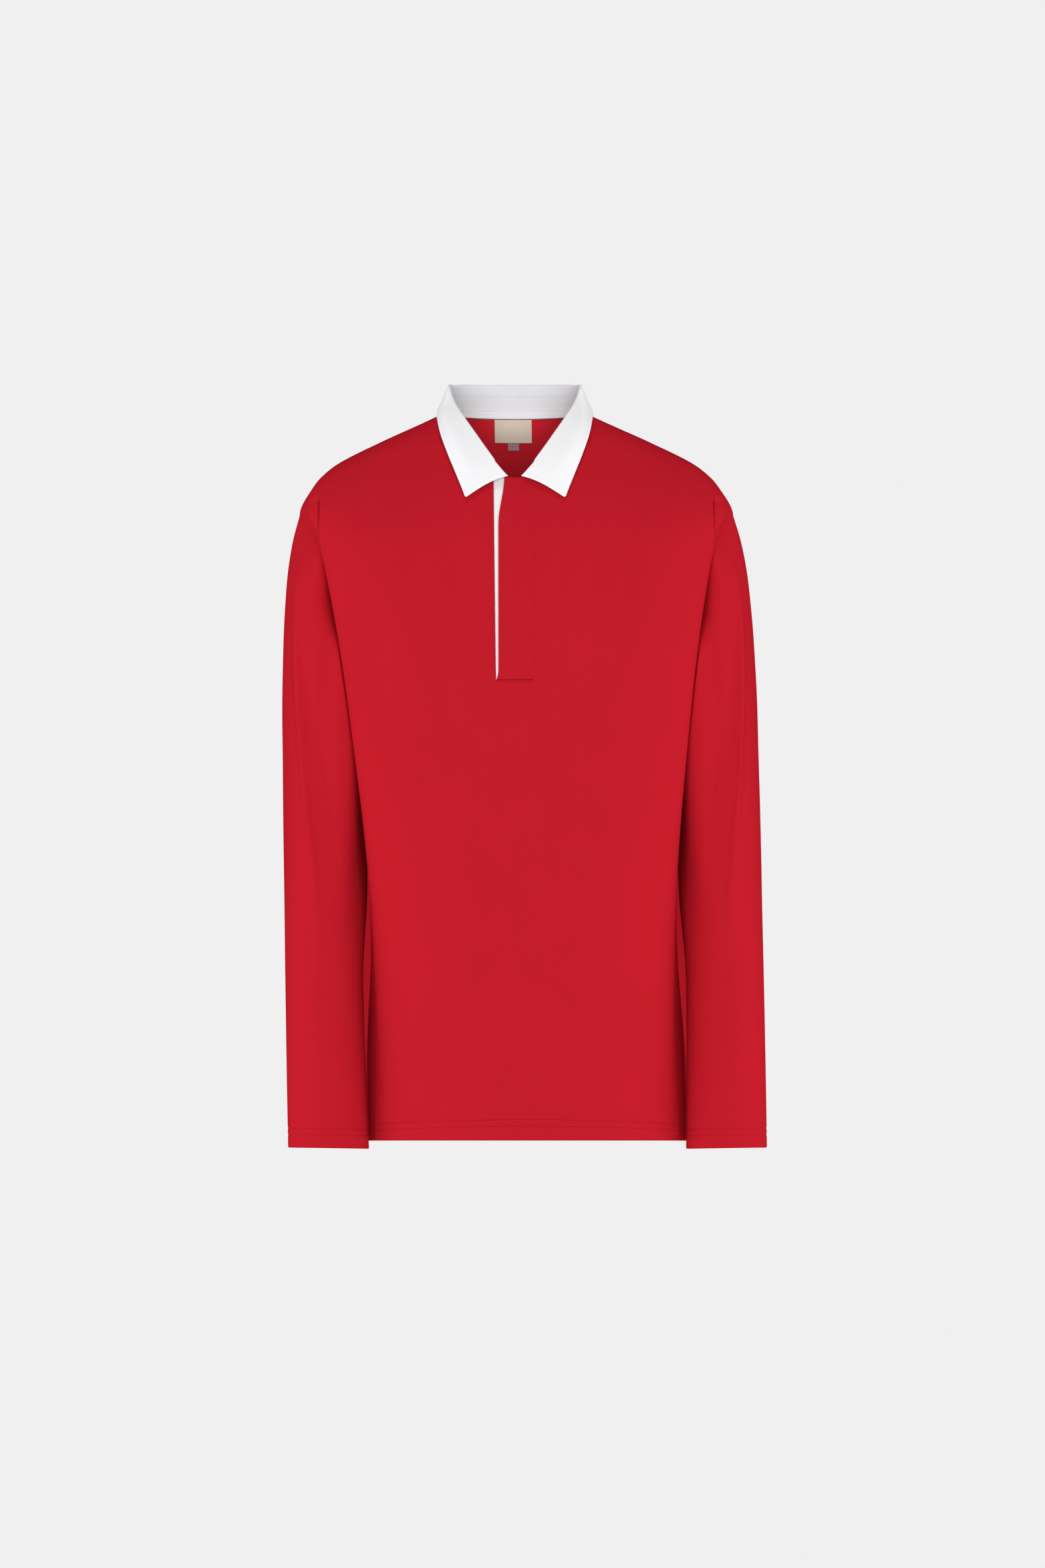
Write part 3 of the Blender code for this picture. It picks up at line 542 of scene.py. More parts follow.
# ---- folds
@dataclass(frozen=True)
class Fold:
    """A soft ridge, or a trough where its height is below 0, along a bent path.

    The path runs over the flat cloth: distance across from the panel's middle line, and
    height.  The fold is highest in the middle of its path and dies out at both ends.
    """

    start: Pair
    bend: Pair
    end: Pair
    height: float
    width: float
    lean: float = 0.0

    def lift(self, across: Array, z: Array) -> Array:
        """How far the fold lifts each place of the cloth.

        Args:
            across: Distances from the middle line.
            z: Heights.

        Returns:
            The lifts.
        """
        f = np.linspace(0, 1, FOLD_STEPS + 1)[:, None]
        path = [np.array(p) for p in (self.start, self.bend, self.end)]
        trail = path[0] * (1 - f) ** 2 + 2 * path[1] * f * (1 - f) + path[2] * f * f
        heading = unit(np.gradient(trail, axis=0))
        step = np.linalg.norm(trail[-1] - trail[0]) / FOLD_STEPS
        best = np.full(np.shape(across), np.inf)
        aside, share = np.zeros_like(best), np.zeros_like(best)
        for i, (spot, ahead) in enumerate(zip(trail, heading)):
            dx, dz = across - spot[0], z - spot[1]
            forth = dx * ahead[0] + dz * ahead[1]
            away = dx * ahead[1] - dz * ahead[0]
            gap = forth**2 + away**2
            closer = gap < best
            best = np.where(closer, gap, best)
            aside = np.where(closer, away, aside)
            place = (i + np.clip(forth / step, -FOLD_REACH, FOLD_REACH)) / FOLD_STEPS
            share = np.where(closer, place, share)
        width = self.width * (1 + self.lean * np.tanh(aside / self.width))
        taper = smooth(share * FOLD_TAPER) * smooth((1 - share) * FOLD_TAPER)
        return self.height * taper * np.exp(-((aside / width) ** 2))


def lifted(folds: Iterable[Fold], across: Array, z: Array) -> Array:
    """Sum of the folds' lifts."""
    return sum((fold.lift(across, z) for fold in folds), np.zeros(np.shape(across)))


def dip(distance: Array, depth: float, width: float) -> Array:
    """How far a seam or a row of stitches at distance 0 draws the cloth in."""
    return -depth * np.exp(-((distance / width) ** 2))


def edge_dips(run: Array, depth: float, width: float) -> Array:
    """Dips at the first and at the last row of a strip."""
    return dip(run, depth, width) + dip(run[-1:] - run, depth, width)


def moved_out(points: Array, lift: Array) -> Array:
    """A grid's points moved along its own normals."""
    return points + grid_normals(points) * lift[..., None]


# ---- shader nodes
def operator(
    operation: str, reflected: bool = False
) -> Callable[[Wire, WireOrNumber], Wire]:
    """One of Python's operators as a Math node.

    Args:
        operation: The node's operation.
        reflected: Whether the other value comes first.

    Returns:
        The operator's method.
    """

    def add_node(self: Wire, other: WireOrNumber) -> Wire:
        """Add the node."""
        values = (other, self) if reflected else (self, other)
        return self.bench.math(operation, *values)

    return add_node


class Wire:
    """A number that varies over a surface, for Python's own operators to work on."""

    def __init__(self, bench: Bench, socket: Socket) -> None:
        """Wrap an output socket of the bench's material."""
        self.bench = bench
        self.socket = socket

    __add__ = __radd__ = operator("ADD")
    __sub__ = operator("SUBTRACT")
    __rsub__ = operator("SUBTRACT", reflected=True)
    __mul__ = __rmul__ = operator("MULTIPLY")
    __truediv__ = operator("DIVIDE")
    __pow__ = operator("POWER")


WireOrNumber = Union[Wire, float, int]


class Bench:
    """Lays out the nodes of one material."""

    def __init__(self, name: str, roughness: float, **constants: object) -> None:
        """Start a material.

        Args:
            name: Its name.
            roughness: Its roughness, where nothing is wired to it.
            constants: Values of the shader's other sockets, spaces written as _.
        """
        self.material = bpy.data.materials.new(name)
        self.material.use_nodes = True
        self.tree = self.material.node_tree
        self.shader = self.tree.nodes["Principled BSDF"]
        self.shader.inputs["Roughness"].default_value = roughness
        for socket, value in constants.items():
            self.shader.inputs[socket.replace("_", " ")].default_value = value

    def feed(self, socket: Socket, value: object) -> None:
        """Link or set an input socket.

        Args:
            socket: The socket.
            value: A wire or an output socket to link, or a plain value.
        """
        if isinstance(value, Wire):
            value = value.socket
        if isinstance(value, Socket):
            self.tree.links.new(value, socket)
        else:
            socket.default_value = value

    def node(self, kind: str, settings: dict, sockets: dict) -> bpy.types.Node:
        """Add a node.

        Args:
            kind: The node's type.
            settings: Its own settings, which are set first.
            sockets: Values or links of its input sockets, by name or number.

        Returns:
            The node.
        """
        made = self.tree.nodes.new(kind)
        for name, value in settings.items():
            setattr(made, name, value)
        for key, value in sockets.items():
            self.feed(made.inputs[key], value)
        return made

    def math(self, operation: str, *values: WireOrNumber) -> Wire:
        """A Math node on one to three values."""
        sockets = dict(enumerate(values))
        made = self.node("ShaderNodeMath", {"operation": operation}, sockets)
        return Wire(self, made.outputs[0])

    def cloth_place(self) -> tuple[Socket, Wire, Wire]:
        """The place on the flat cloth: as a vector, across and along, in metres."""
        made = self.node("ShaderNodeUVMap", {"uv_map": CLOTH_MAP}, {})
        split = self.node("ShaderNodeSeparateXYZ", {}, {0: made.outputs[0]})
        return made.outputs[0], Wire(self, split.outputs[0]), Wire(self, split.outputs[1])

    def object_place(self) -> Socket:
        """The place in the shirt's own frame."""
        return self.node("ShaderNodeTexCoord", {}, {}).outputs["Object"]

    def stretched(self, place: object, scale: Colour) -> Socket:
        """A place with each of its axes scaled."""
        made = self.node("ShaderNodeVectorMath", {"operation": "MULTIPLY"}, {0: place, 1: scale})
        return made.outputs[0]

    def noise(self, place: object, scale: float, detail: float) -> Wire:
        """Soft noise about 0.5, at a scale in features for each metre."""
        sockets = {"Vector": place, "Scale": scale, "Detail": detail}
        return Wire(self, self.node("ShaderNodeTexNoise", {}, sockets).outputs[0])

    def blend(self, factor: Wire, first: Colour, second: Colour) -> Socket:
        """A colour between two."""
        sockets = {0: factor, 6: (*first, 1.0), 7: (*second, 1.0)}
        settings = {"data_type": "RGBA", "clamp_factor": True}
        return self.node("ShaderNodeMix", settings, sockets).outputs[2]

    def finish(
        self, colour: object, roughness: WireOrNumber, height: Wire, relief: float
    ) -> Material:
        """Wire up the shader.

        Args:
            colour: The base colour.
            roughness: The roughness.
            height: The surface's fine height, from 0 to 1.
            relief: What a height of 1 comes to, in metres.

        Returns:
            The material.
        """
        bump = self.node(
            "ShaderNodeBump", {}, {"Strength": 1.0, "Distance": relief, "Height": height}
        )
        self.feed(self.shader.inputs["Base Color"], colour)
        self.feed(self.shader.inputs["Roughness"], roughness)
        self.feed(self.shader.inputs["Normal"], bump.outputs[0])
        return self.material


@dataclass(frozen=True)
class Jersey:
    """Knitted jersey: fine wales and courses, and a soft matt face."""

    name: str
    colour: Colour
    shade: Colour
    wale: float = 0.0011
    course: float = 0.00085
    relief: float = 0.00006
    mottle: float = 0.5
    gloss: float = 0.0

    def material(self) -> Material:
        """The finish as nodes.

        Returns:
            The material.
        """
        bench = Bench(self.name, 0.85, Specular_IOR_Level=self.gloss)
        place, across, along = bench.cloth_place()
        rib = bench.math("PINGPONG", across / self.wale, 0.5) * 2.0
        loop = bench.math("SINE", (along / self.course + rib * 0.5) * math.tau) * 0.5 + 0.5
        ridge = 1.0 - rib**2.0
        yarn = bench.noise(place, 900.0, 2.0)
        height = ridge * 0.55 + loop * 0.30 + yarn * 0.25
        cloud = bench.noise(place, 11.0, 3.0)
        streak = bench.noise(bench.stretched(place, (55.0, 3.0, 1.0)), 1.0, 2.0)
        tone = (cloud - 0.5) * self.mottle + (streak - 0.5) * (self.mottle * 0.45)
        # Painted shade: the knit's height darkens the colour in the valleys between its loops and
        # lightens it on their tops; cloud and streak are random tone.
        tone = tone + (height - 0.5) * 0.30 + 0.62
        colour = bench.blend(tone, self.shade, self.colour)
        roughness = 0.80 + (yarn - 0.5) * 0.14
        return bench.finish(colour, roughness, height, self.relief)


@dataclass(frozen=True)
class WovenLabel:
    """Woven label cloth: flat warp and weft threads."""

    name: str
    colour: Colour
    shade: Colour
    thread: float = 0.00042
    relief: float = 0.00007

    def material(self) -> Material:
        """The finish as nodes.

        Returns:
            The material.
        """
        bench = Bench(self.name, 0.6, Sheen_Weight=0.1, Specular_IOR_Level=0.4)
        place, across, along = bench.cloth_place()
        warp = bench.math("SINE", across * (math.tau / self.thread)) * 0.5 + 0.5
        weft = bench.math("SINE", along * (math.tau / self.thread)) * 0.5 + 0.5
        weave = warp * (1.0 - weft) + weft * (1.0 - warp)
        slub = bench.noise(bench.stretched(place, (120.0, 1400.0, 1.0)), 1.0, 2.0)
        cloud = bench.noise(place, 60.0, 2.0)
        # Painted shade: the weave term lightens the colour where a thread lies on top and darkens
        # it between threads; slub and cloud are random tone.
        tone = weave * 0.35 + slub * 0.35 + (cloud - 0.5) * 0.5 + 0.30
        colour = bench.blend(tone, self.shade, self.colour)
        roughness = 0.55 + slub * 0.2
        return bench.finish(colour, roughness, weave * 0.6 + slub * 0.4, self.relief)


@dataclass(frozen=True)
class TwillTape:
    """Cotton tape with a fine slanting twill."""

    name: str
    colour: Colour
    shade: Colour
    pitch: float = 0.0009
    relief: float = 0.00010

    def material(self) -> Material:
        """The finish as nodes.

        Returns:
            The material.
        """
        bench = Bench(self.name, 0.8, Sheen_Weight=0.1, Specular_IOR_Level=0.3)
        place, across, along = bench.cloth_place()
        slant = bench.math("SINE", (across + along * 0.8) * (math.tau / self.pitch)) * 0.5 + 0.5
        fuzz = bench.noise(place, 800.0, 2.0)
        cloud = bench.noise(place, 30.0, 2.0)
        # Painted shade: the slant term lightens the twill's ridges and darkens its grooves; fuzz
        # and cloud are random tone.
        tone = slant * 0.45 + fuzz * 0.25 + (cloud - 0.5) * 0.4 + 0.30
        colour = bench.blend(tone, self.shade, self.colour)
        return bench.finish(colour, 0.75 + fuzz * 0.15, slant * 0.7 + fuzz * 0.3, self.relief)


@dataclass(frozen=True)
class Thread:
    """Twisted sewing thread."""

    name: str
    colour: Colour
    shade: Colour

    def material(self) -> Material:
        """The finish as nodes.

        Returns:
            The material.
        """
        bench = Bench(self.name, 0.7, Specular_IOR_Level=0.1)
        place = bench.object_place()
        twist = bench.noise(place, 2600.0, 1.0)
        cloud = bench.noise(place, 25.0, 2.0)
        tone = twist * 0.7 + (cloud - 0.5) * 0.4 + 0.15
        colour = bench.blend(tone, self.shade, self.colour)
        return bench.finish(colour, 0.5 + twist * 0.2, twist, 0.00005)


@dataclass(frozen=True)
class StudioFloor:
    """Pale matt floor."""

    name: str = "pale_floor"
    colour: Colour = (0.80, 0.80, 0.80)
    shade: Colour = (0.74, 0.74, 0.74)

    def material(self) -> Material:
        """The finish as nodes.

        Returns:
            The material.
        """
        bench = Bench(self.name, 0.9)
        place = bench.object_place()
        grain = bench.noise(place, 6.0, 4.0)
        colour = bench.blend(grain, self.shade, self.colour)
        return bench.finish(colour, 0.85 + grain * 0.1, grain, 0.0002)


@dataclass(frozen=True)
class Cloth:
    """What pieces of one colour are made with: the cloth, a copy of it for inner faces with
    painted light (red) and painted shade (white), and the thread.
    """

    face: Material
    reverse: Material
    thread: Material


# ---- cloth from grids
def linked(name: str, mesh: bmesh.types.BMesh, finish: Material) -> Piece:
    """A finished mesh as an object.

    Args:
        name: The object's name.
        mesh: The mesh, which is freed.
        finish: Its material.

    Returns:
        The object, linked to the scene.
    """
    data = bpy.data.meshes.new(name)
    mesh.to_mesh(data)
    mesh.free()
    data.materials.append(finish)
    made = bpy.data.objects.new(name, data)
    bpy.context.scene.collection.objects.link(made)
    return made


def dress(piece: Piece, node: str) -> None:
    """Let a piece stand for its plain solid, which is hidden.

    Args:
        piece: The piece.
        node: The solid that it replaces.
    """
    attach(piece, "root")
    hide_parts(node)
    log.info("%s: built", piece.name)


def cloth_piece(
    name: str,
    points: Array,
    material: Material,
    wall: float,
    flat_place: tuple[Array, Array] | None = None,
    keep: Callable[[int, int], bool] | None = None,
    weld: tuple[int, ...] = (),
    reverse: Material | None = None,
    turned: Callable[[int, int], bool] | None = None,
) -> Piece:
    """A wall of cloth whose outer face goes through a grid of points.

    Args:
        name: The piece's name.
        points: Rows of points; rightwards crossed with upwards points outwards.
        material: Its finish.
        wall: Its thickness, inwards from the points.
        flat_place: Place of each point on the flat cloth, across and along.
        keep: Tells which faces to keep, from their row and column.
        weld: Columns that are joined wherever their points meet.
        reverse: A second finish, the cloth's copy with painted light for the red and painted
            shade for the white, for its inner face or for the faces that are turned.
        turned: Tells which outer faces have the second finish, from row and column.

    Returns:
        The piece, linked to the scene.
    """
    rows, columns = points.shape[:2]
    if flat_place is None:
        middle = columns // 2
        run = run_along(points, 1)
        flat_place = (run - run[:, middle : middle + 1], run_along(points, 0))
    mesh = bmesh.new()
    flat = mesh.loops.layers.uv.new(CLOTH_MAP)
    bmesh.ops.create_grid(mesh, x_segments=columns - 1, y_segments=rows - 1, size=1.0)
    spots = {}
    for vert in mesh.verts:
        column = round((vert.co.x + 1) / 2 * (columns - 1))
        row = round((vert.co.y + 1) / 2 * (rows - 1))
        spots[vert] = (row, column)
        vert.co = points[row, column]
    dropped = []
    for face in mesh.faces:
        for corner in face.loops:
            row, column = spots[corner.vert]
            corner[flat].uv = (flat_place[0][row, column], flat_place[1][row, column])
        face.smooth = True
        low = [min(spots[v][i] for v in face.verts) for i in (0, 1)]
        if keep is not None and not keep(*low):
            dropped.append(face)
        if turned is not None and turned(*low):
            face.material_index = 1
    bmesh.ops.delete(mesh, geom=dropped, context="FACES")
    if weld:
        ends = [v for v in mesh.verts if spots[v][1] in weld]
        bmesh.ops.remove_doubles(mesh, verts=ends, dist=WELD_REACH)
    piece = linked(name, mesh, material)
    thickness = piece.modifiers.new("wall", "SOLIDIFY")
    thickness.thickness = wall
    thickness.offset = -1.0
    thickness.use_rim = True
    if reverse is not None:
        piece.data.materials.append(reverse)
        thickness.material_offset = 1 if turned is None else 0
    return piece


def turned_hem(points: Array, normals: Array, rows: Sequence[int]) -> Array:
    """A hem turned to the inside, round its fold and on up the outside.

    Args:
        points: Rows of the outer face, the first along the hem's edge.
        normals: Their outward normals.
        rows: Rows that the turned-up cloth lies behind, from its raw edge down.

    Returns:
        All the rows, from the raw edge inside to the last row outside.
    """
    radius = HEM_FOLD_RADIUS
    inside = [points[row] - normals[row] * 2 * radius for row in rows]
    down = unit(points[0] - points[HEM_ROWS_LOST])
    centre = points[0] - down * radius - normals[0] * radius
    fold = [
        centre + normals[0] * radius * math.cos(swing) + down * radius * math.sin(swing)
        for swing in np.linspace(math.pi, 0, HEM_FOLD_ROWS)
    ]
    return np.concatenate([np.stack(inside + fold), points[HEM_ROWS_LOST:]])


# ---- stitches
@dataclass(frozen=True)
class StitchSize:
    """Length, spacing and thickness of one kind of stitch."""

    length: float = 0.0026
    pitch: float = 0.0033
    width: float = 0.00048
    height: float = 0.00034


LEAF_STITCH = StitchSize(0.0023, 0.0028, 0.0004, 0.0003)
TAPE_STITCH = StitchSize(0.0022, 0.0027, 0.0004, 0.0003)
END_STITCH = StitchSize(0.0033, 0.0034, 0.0007)


def stitch_line(
    mesh: bmesh.types.BMesh, trail: Array, normals: Array, size: StitchSize
) -> int:
    """Sew one row of stitches.

    Args:
        mesh: What the stitches are added to.
        trail: Points along the row, on the cloth's face.
        normals: The face's normals there.
        size: The stitches' sizes.

    Returns:
        The number of stitches.
    """
    run = run_along(trail[:, None], 0)[:, 0]
    count = max(1, int(run[-1] // size.pitch))
    middles = (np.arange(count) + 0.5) * run[-1] / count

    def read(values: Array, at: Array) -> Array:
        """Values at distances along the row."""
        return np.stack([np.interp(at, run, values[:, i]) for i in range(3)], axis=-1)

    spots, up = read(trail, middles), unit(read(normals, middles))
    ahead = unit(read(trail, middles + size.length / 2) - read(trail, middles - size.length / 2))
    aside = unit(np.cross(up, ahead))
    up = np.cross(ahead, aside)
    half = np.array([size.length, size.width, size.height]) / 2
    for spot, *ways in zip(spots, ahead, aside, up):
        axes = np.eye(4)
        axes[:3, :3] = np.array(ways).T * half
        axes[:3, 3] = spot
        bmesh.ops.create_uvsphere(
            mesh, u_segments=6, v_segments=4, radius=1.0, matrix=Matrix(axes.tolist())
        )
    return count


def sew(
    name: str,
    lines: Iterable[Run],
    material: Material,
    size: StitchSize = StitchSize(),
) -> Piece:
    """Rows of stitches as one piece.

    Args:
        name: The piece's name.
        lines: Points along each row, and the cloth's normals there.
        material: The thread's finish.
        size: The stitches' sizes.

    Returns:
        The piece.
    """
    whole = bmesh.new()
    sewn = bpy.data.meshes.new("row_of_stitches")
    count = 0
    for trail, normals in lines:
        row = bmesh.new()
        count += stitch_line(row, trail, normals, size)
        row.to_mesh(sewn)
        row.free()
        whole.from_mesh(sewn)
    bpy.data.meshes.remove(sewn)
    for face in whole.faces:
        face.smooth = True
    bmesh.ops.recalc_face_normals(whole, faces=whole.faces)
    piece = linked(name, whole, material)
    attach(piece, "root")
    log.info("%s: %d stitches", name, count)
    return piece


def level_line(values: Array, distance: Array, target: Number) -> Array:
    """Values where a grid's columns reach a distance, one for each column.

    Args:
        values: Rows of points or normals.
        distance: Distance of each point, rising along its column.
        target: The distance wanted, one for all or one for each column.

    Returns:
        The values there.
    """
    columns = range(values.shape[1])
    target = target + np.zeros(len(columns))
    return np.array(
        [
            [np.interp(target[c], distance[:, c], values[:, c, i]) for i in range(3)]
            for c in columns
        ]
    )


def upright_line(values: Array, distance: Array, target: Number) -> Array:
    """Values where a grid's rows reach a distance, one for each row."""
    return level_line(np.swapaxes(values, 0, 1), distance.T, target)


def stitch_run(points: Array, normals: Array, distance: Array, target: Number) -> Run:
    """Where stitches run at a distance up a grid: points on the hung shirt, and normals."""
    trail = FIGURE.hang(level_line(points, distance, target))
    return trail, level_line(normals, distance, target)


# ---- body
@dataclass(frozen=True)
class Crease:
    """A sharp crease down the front of each shoulder, the cloth outside it lying lower."""

    line_z: tuple[float, ...] = (-0.1310, -0.0900, -0.0850)
    line_x: tuple[float, ...] = (0.2008, 0.2000, 0.2026)
    step: float = 0.0030
    step_width: float = 0.0009
    back_width: float = 0.0170
    groove: float = 0.0055
    groove_width: float = 0.0016
    top_fade: float = 0.006
    seam_fade: float = 0.004
    step_fade: float = 0.016
    levels: int = 24
    places: int = 240
    reach: float = 0.98

    def lift(self, points: Array, near_seam: Array) -> Array:
        """How far the crease moves each point of the front.

        Args:
            points: The front's smooth face.
            near_seam: Distance of each point from its nearest seam.

        Returns:
            The lifts.
        """
        bottom, top = self.line_z[0], self.line_z[-1]
        levels = np.linspace(bottom, top, self.levels)
        line_x = np.interp(levels, self.line_z, self.line_x)
        share = np.linspace(0, self.reach, self.places)[None]
        section = FIGURE.body(Panel.FRONT, share, levels[:, None])
        line_y = np.array(
            [np.interp(x, np.maximum.accumulate(row[:, 0]), row[:, 1])
             for x, row in zip(line_x, section)]
        )
        z = points[..., 2]
        dx = np.abs(points[..., 0]) - np.interp(z, levels, line_x)
        dy = points[..., 1] - np.interp(z, levels, line_y)
        aside = np.hypot(dx, dy) * np.sign(dx + dy)
        outside = 0.5 + 0.5 * np.tanh(aside / self.step_width - 1)
        lift = -self.step * outside * np.exp(-((aside / self.back_width) ** 2))
        lift *= smooth(near_seam / self.step_fade)
        groove = dip(aside - self.step_width, self.groove, self.groove_width)
        lift += groove * smooth(near_seam / self.seam_fade)
        along = smooth((top - z) / self.top_fade) * smooth((z - bottom) / self.top_fade)
        return lift * along


@dataclass
class Body:
    """The front and the back, with soft folds, a turned hem and twin rows of stitches."""

    red: Cloth
    lower: Array = field(default_factory=lambda: rising((0.060, 22), (1.0, 96)))
    chest: Array = field(default_factory=lambda: rising((1.0, 54)))
    neck: Array = field(default_factory=lambda: rising((0.98, 38), (1.0, 6)))
    columns: Array = field(
        default_factory=lambda: rising((0.012, 4), (0.595, 28), (0.70, 42), (0.985, 17), (1.0, 6))
    )
    middle_columns: int = 9
    slit_along: float = 0.955
    crest_column: float = 0.685
    hem_row: float = 0.0088        # lower row of hem stitches above the edge, at the sides
    hem_row_rise: float = 0.0056   # how much higher it runs at the centre
    needle_gap: float = 0.0064     # between the two rows
    turned_rows: tuple[int, ...] = (20, 12, 5, 2)   # what its turned-up cloth lies behind
    hem_fullness: float = 0.00025  # how much fuller it is below its stitches
    hem_soft: float = 0.004        # and over what height it fills out
    hem_fade: float = 3.0          # how fast the front hem's tilt dies out upwards
    seam_start: float = 0.01       # below the underarm, where the side seams set in
    slit_roll: Pair = (0.0006, 0.0002)   # the slit's edge rolls in
    crest_bounds: Pair = (0.60, 0.93)
    front_cut: Pair = (0.60, 0.735)
    front_shaping: float = 0.88    # share of its rectangle that the cut fills
    back_cut: Pair = (0.60, 0.775)
    back_shaping: float = 0.92
    front_folds: tuple[Fold, ...] = ()
    back_folds: tuple[Fold, ...] = ()
    shoulder_crease: Crease | None = None

    def half(self, panel: Panel, inner_edge: Callable[[Array], Array]) -> Array:
        """Points of a half panel, row by row from the hem up.

        Args:
            panel: Front or back.
            inner_edge: How far from the centre line the half begins, at a height.

        Returns:
            The points, on the wearer's left.
        """
        front = panel is Panel.FRONT
        neck_table = NECK_FRONT if front else NECK_BACK
        slit_along = self.slit_along if front else 0.0
        slit_end = PLACKET_END_Z if front else UNDERARM_Z
        hem_z = HEM_FRONT_Z if front else HEM_SIDE_Z
        centre_top = neck_table("z", slit_along)
        chest, neck = self.chest[1:], self.neck[1:]
        centre_z = np.concatenate(
            [hem_z + (slit_end - hem_z) * self.lower,
             slit_end + (centre_top - slit_end) * chest]
        )
        centre_share = FIGURE.share_at(panel, inner_edge(centre_z), centre_z)
        along = slit_along + (SHOULDER_ALONG - slit_along) * neck
        inner_share = np.concatenate([centre_share, neck_table("share", along)])
        inner_z = np.concatenate([centre_z, neck_table("z", along)])
        climb = np.concatenate([[0.0], chest * 0.5, 0.5 + neck * 0.5])
        outer_z = np.concatenate(
            [HEM_SIDE_Z + (UNDERARM_Z - HEM_SIDE_Z) * self.lower[:-1],
             FIGURE.armhole_heights(panel, climb)]
        )
        outer_share = np.where(outer_z < UNDERARM_Z, 1.0, ARMHOLE(panel.value, outer_z))
        level = np.concatenate([0 * centre_z, neck])[:, None]
        climb_up = np.concatenate([self.lower, 1 + 0 * chest, 1 + 0 * neck])[:, None]
        columns = self.columns
        ease = smooth(columns) * (1 - level) + columns * level
        breadth = outer_share - inner_share
        crest = FIGURE.crest_share(FRONT if front else BACK, outer_z) - inner_share
        crest = np.clip(crest / np.maximum(breadth, 1e-6), *self.crest_bounds)[:, None]
        spread = np.where(
            columns <= self.crest_column,
            crest * columns / self.crest_column,
            1 - (1 - crest) * (1 - columns) / (1 - self.crest_column),
        )
        share = inner_share[:, None] + breadth[:, None] * spread
        z = inner_z[:, None] + (outer_z - inner_z)[:, None] * ease
        points = FIGURE.body(panel, share, z)
        if front:
            level_hem = HEM_SIDE_Z - HEM_TILT * points[0, :, 1]
            z = z + (level_hem - z[0]) * (1 - smooth(self.hem_fade * climb_up))
            points = FIGURE.body(panel, share, z)
        return points

    def fine_shape(
        self, points: Array, folds: Sequence[Fold], hem: Array, crease: Crease | None = None
    ) -> tuple[Array, ...]:
        """Move a panel's points into folds, seam grooves and stitch grooves.

        Args:
            points: Rows of the panel's smooth face.
            folds: Its folds.
            hem: Height of the lower row of hem stitches above the edge, by column.
            crease: The crease in front of both shoulders.

        Returns:
            The moved points, their normals, and their distances up from the hem.
        """
        across, up = run_along(points, 1), run_along(points, 0)
        middle = points.shape[1] // 2
        left, right = across, across[:, -1:] - across
        top = up[-1:] - up
        near_seam = np.minimum(np.minimum(left, right), top)
        lift = lifted(folds, across - across[:, middle : middle + 1], points[..., 2])
        lift *= smooth(near_seam / FOLD_FADE)
        if crease is not None:
            lift += crease.lift(points, near_seam)
        below_armhole = smooth((UNDERARM_Z - points[..., 2]) / self.seam_start)
        for distance in (left, right):
            lift += dip(distance, SEAM_DIP, SEAM_DIP_WIDTH) * below_armhole
        lift += dip(top, SEAM_DIP, SEAM_DIP_WIDTH)
        for row in (hem, hem + self.needle_gap):
            lift += dip(up - row, STITCH_DIP, STITCH_DIP_WIDTH)
        full = smooth((hem + self.hem_soft - up) / self.hem_soft)
        lift += self.hem_fullness * full * smooth(up / self.hem_soft)
        moved = moved_out(points, lift)
        return moved, grid_normals(moved), up

    def hem_height(self, points: Array) -> Array:
        """Height of the lower row of hem stitches above the edge, by column."""
        share = points[0, :, 0] / np.abs(points[0, :, 0]).max()
        return self.hem_row + self.hem_row_rise * (1 - share**2)

    def hem_lines(self, points: Array, normals: Array, up: Array, hem: Array) -> list[Run]:
        """Both rows of hem stitches, from seam to seam."""
        rows = (stitch_run(points, normals, up, hem + gap) for gap in (0.0, self.needle_gap))
        return [(trail[1:-1], normal[1:-1]) for trail, normal in rows]

    def front_points(self) -> Array:
        """The front's smooth face, both halves joined across the placket's width.

        Returns:
            Rows of its points, from the hem up.
        """
        right = mirrored(self.half(Panel.FRONT, lambda z: np.abs(slit_left(z))))
        left = self.half(Panel.FRONT, slit_right)
        blends = np.arange(1, self.middle_columns + 1) / (self.middle_columns + 1)
        middle = [right[:, :1] * (1 - f) + left[:, :1] * f for f in blends]
        return np.concatenate([right[:, ::-1], *middle, left], axis=1)

    def back_points(self) -> Array:
        """The back's smooth face."""
        right = self.half(Panel.BACK, lambda z: 0 * z)
        return np.concatenate([right[:, ::-1], mirrored(right)], axis=1)

    def build(self) -> None:
        """Build and dress the front, slit down the placket from the neck, and the back."""
        count, slit_rows = len(self.columns), len(self.lower) - 1
        hem_rows = len(self.turned_rows) + HEM_FOLD_ROWS - HEM_ROWS_LOST
        slit = range(count - 1, count + self.middle_columns)
        joins = {
            Panel.FRONT: {"keep": lambda r, c: r < slit_rows + hem_rows or c not in slit},
            Panel.BACK: {"keep": lambda r, c: c != count - 1, "weld": (count - 1, count)},
        }
        for panel, points, folds, crease, flat, shaping in (
            (Panel.FRONT, self.front_points(), self.front_folds, self.shoulder_crease,
             self.front_cut, self.front_shaping),
            (Panel.BACK, self.back_points(), self.back_folds, None,
             self.back_cut, self.back_shaping),
        ):
            name = panel.value
            hem = self.hem_height(points)
            points, normals, up = self.fine_shape(points, folds, hem, crease)
            if panel is Panel.FRONT:
                for column, roll in zip((count - 1, count - 2), self.slit_roll):
                    points[slit_rows:, column] -= normals[slit_rows:, column] * roll
            lines = self.hem_lines(points, normals, up, hem)
            turned = turned_hem(points, normals, self.turned_rows)
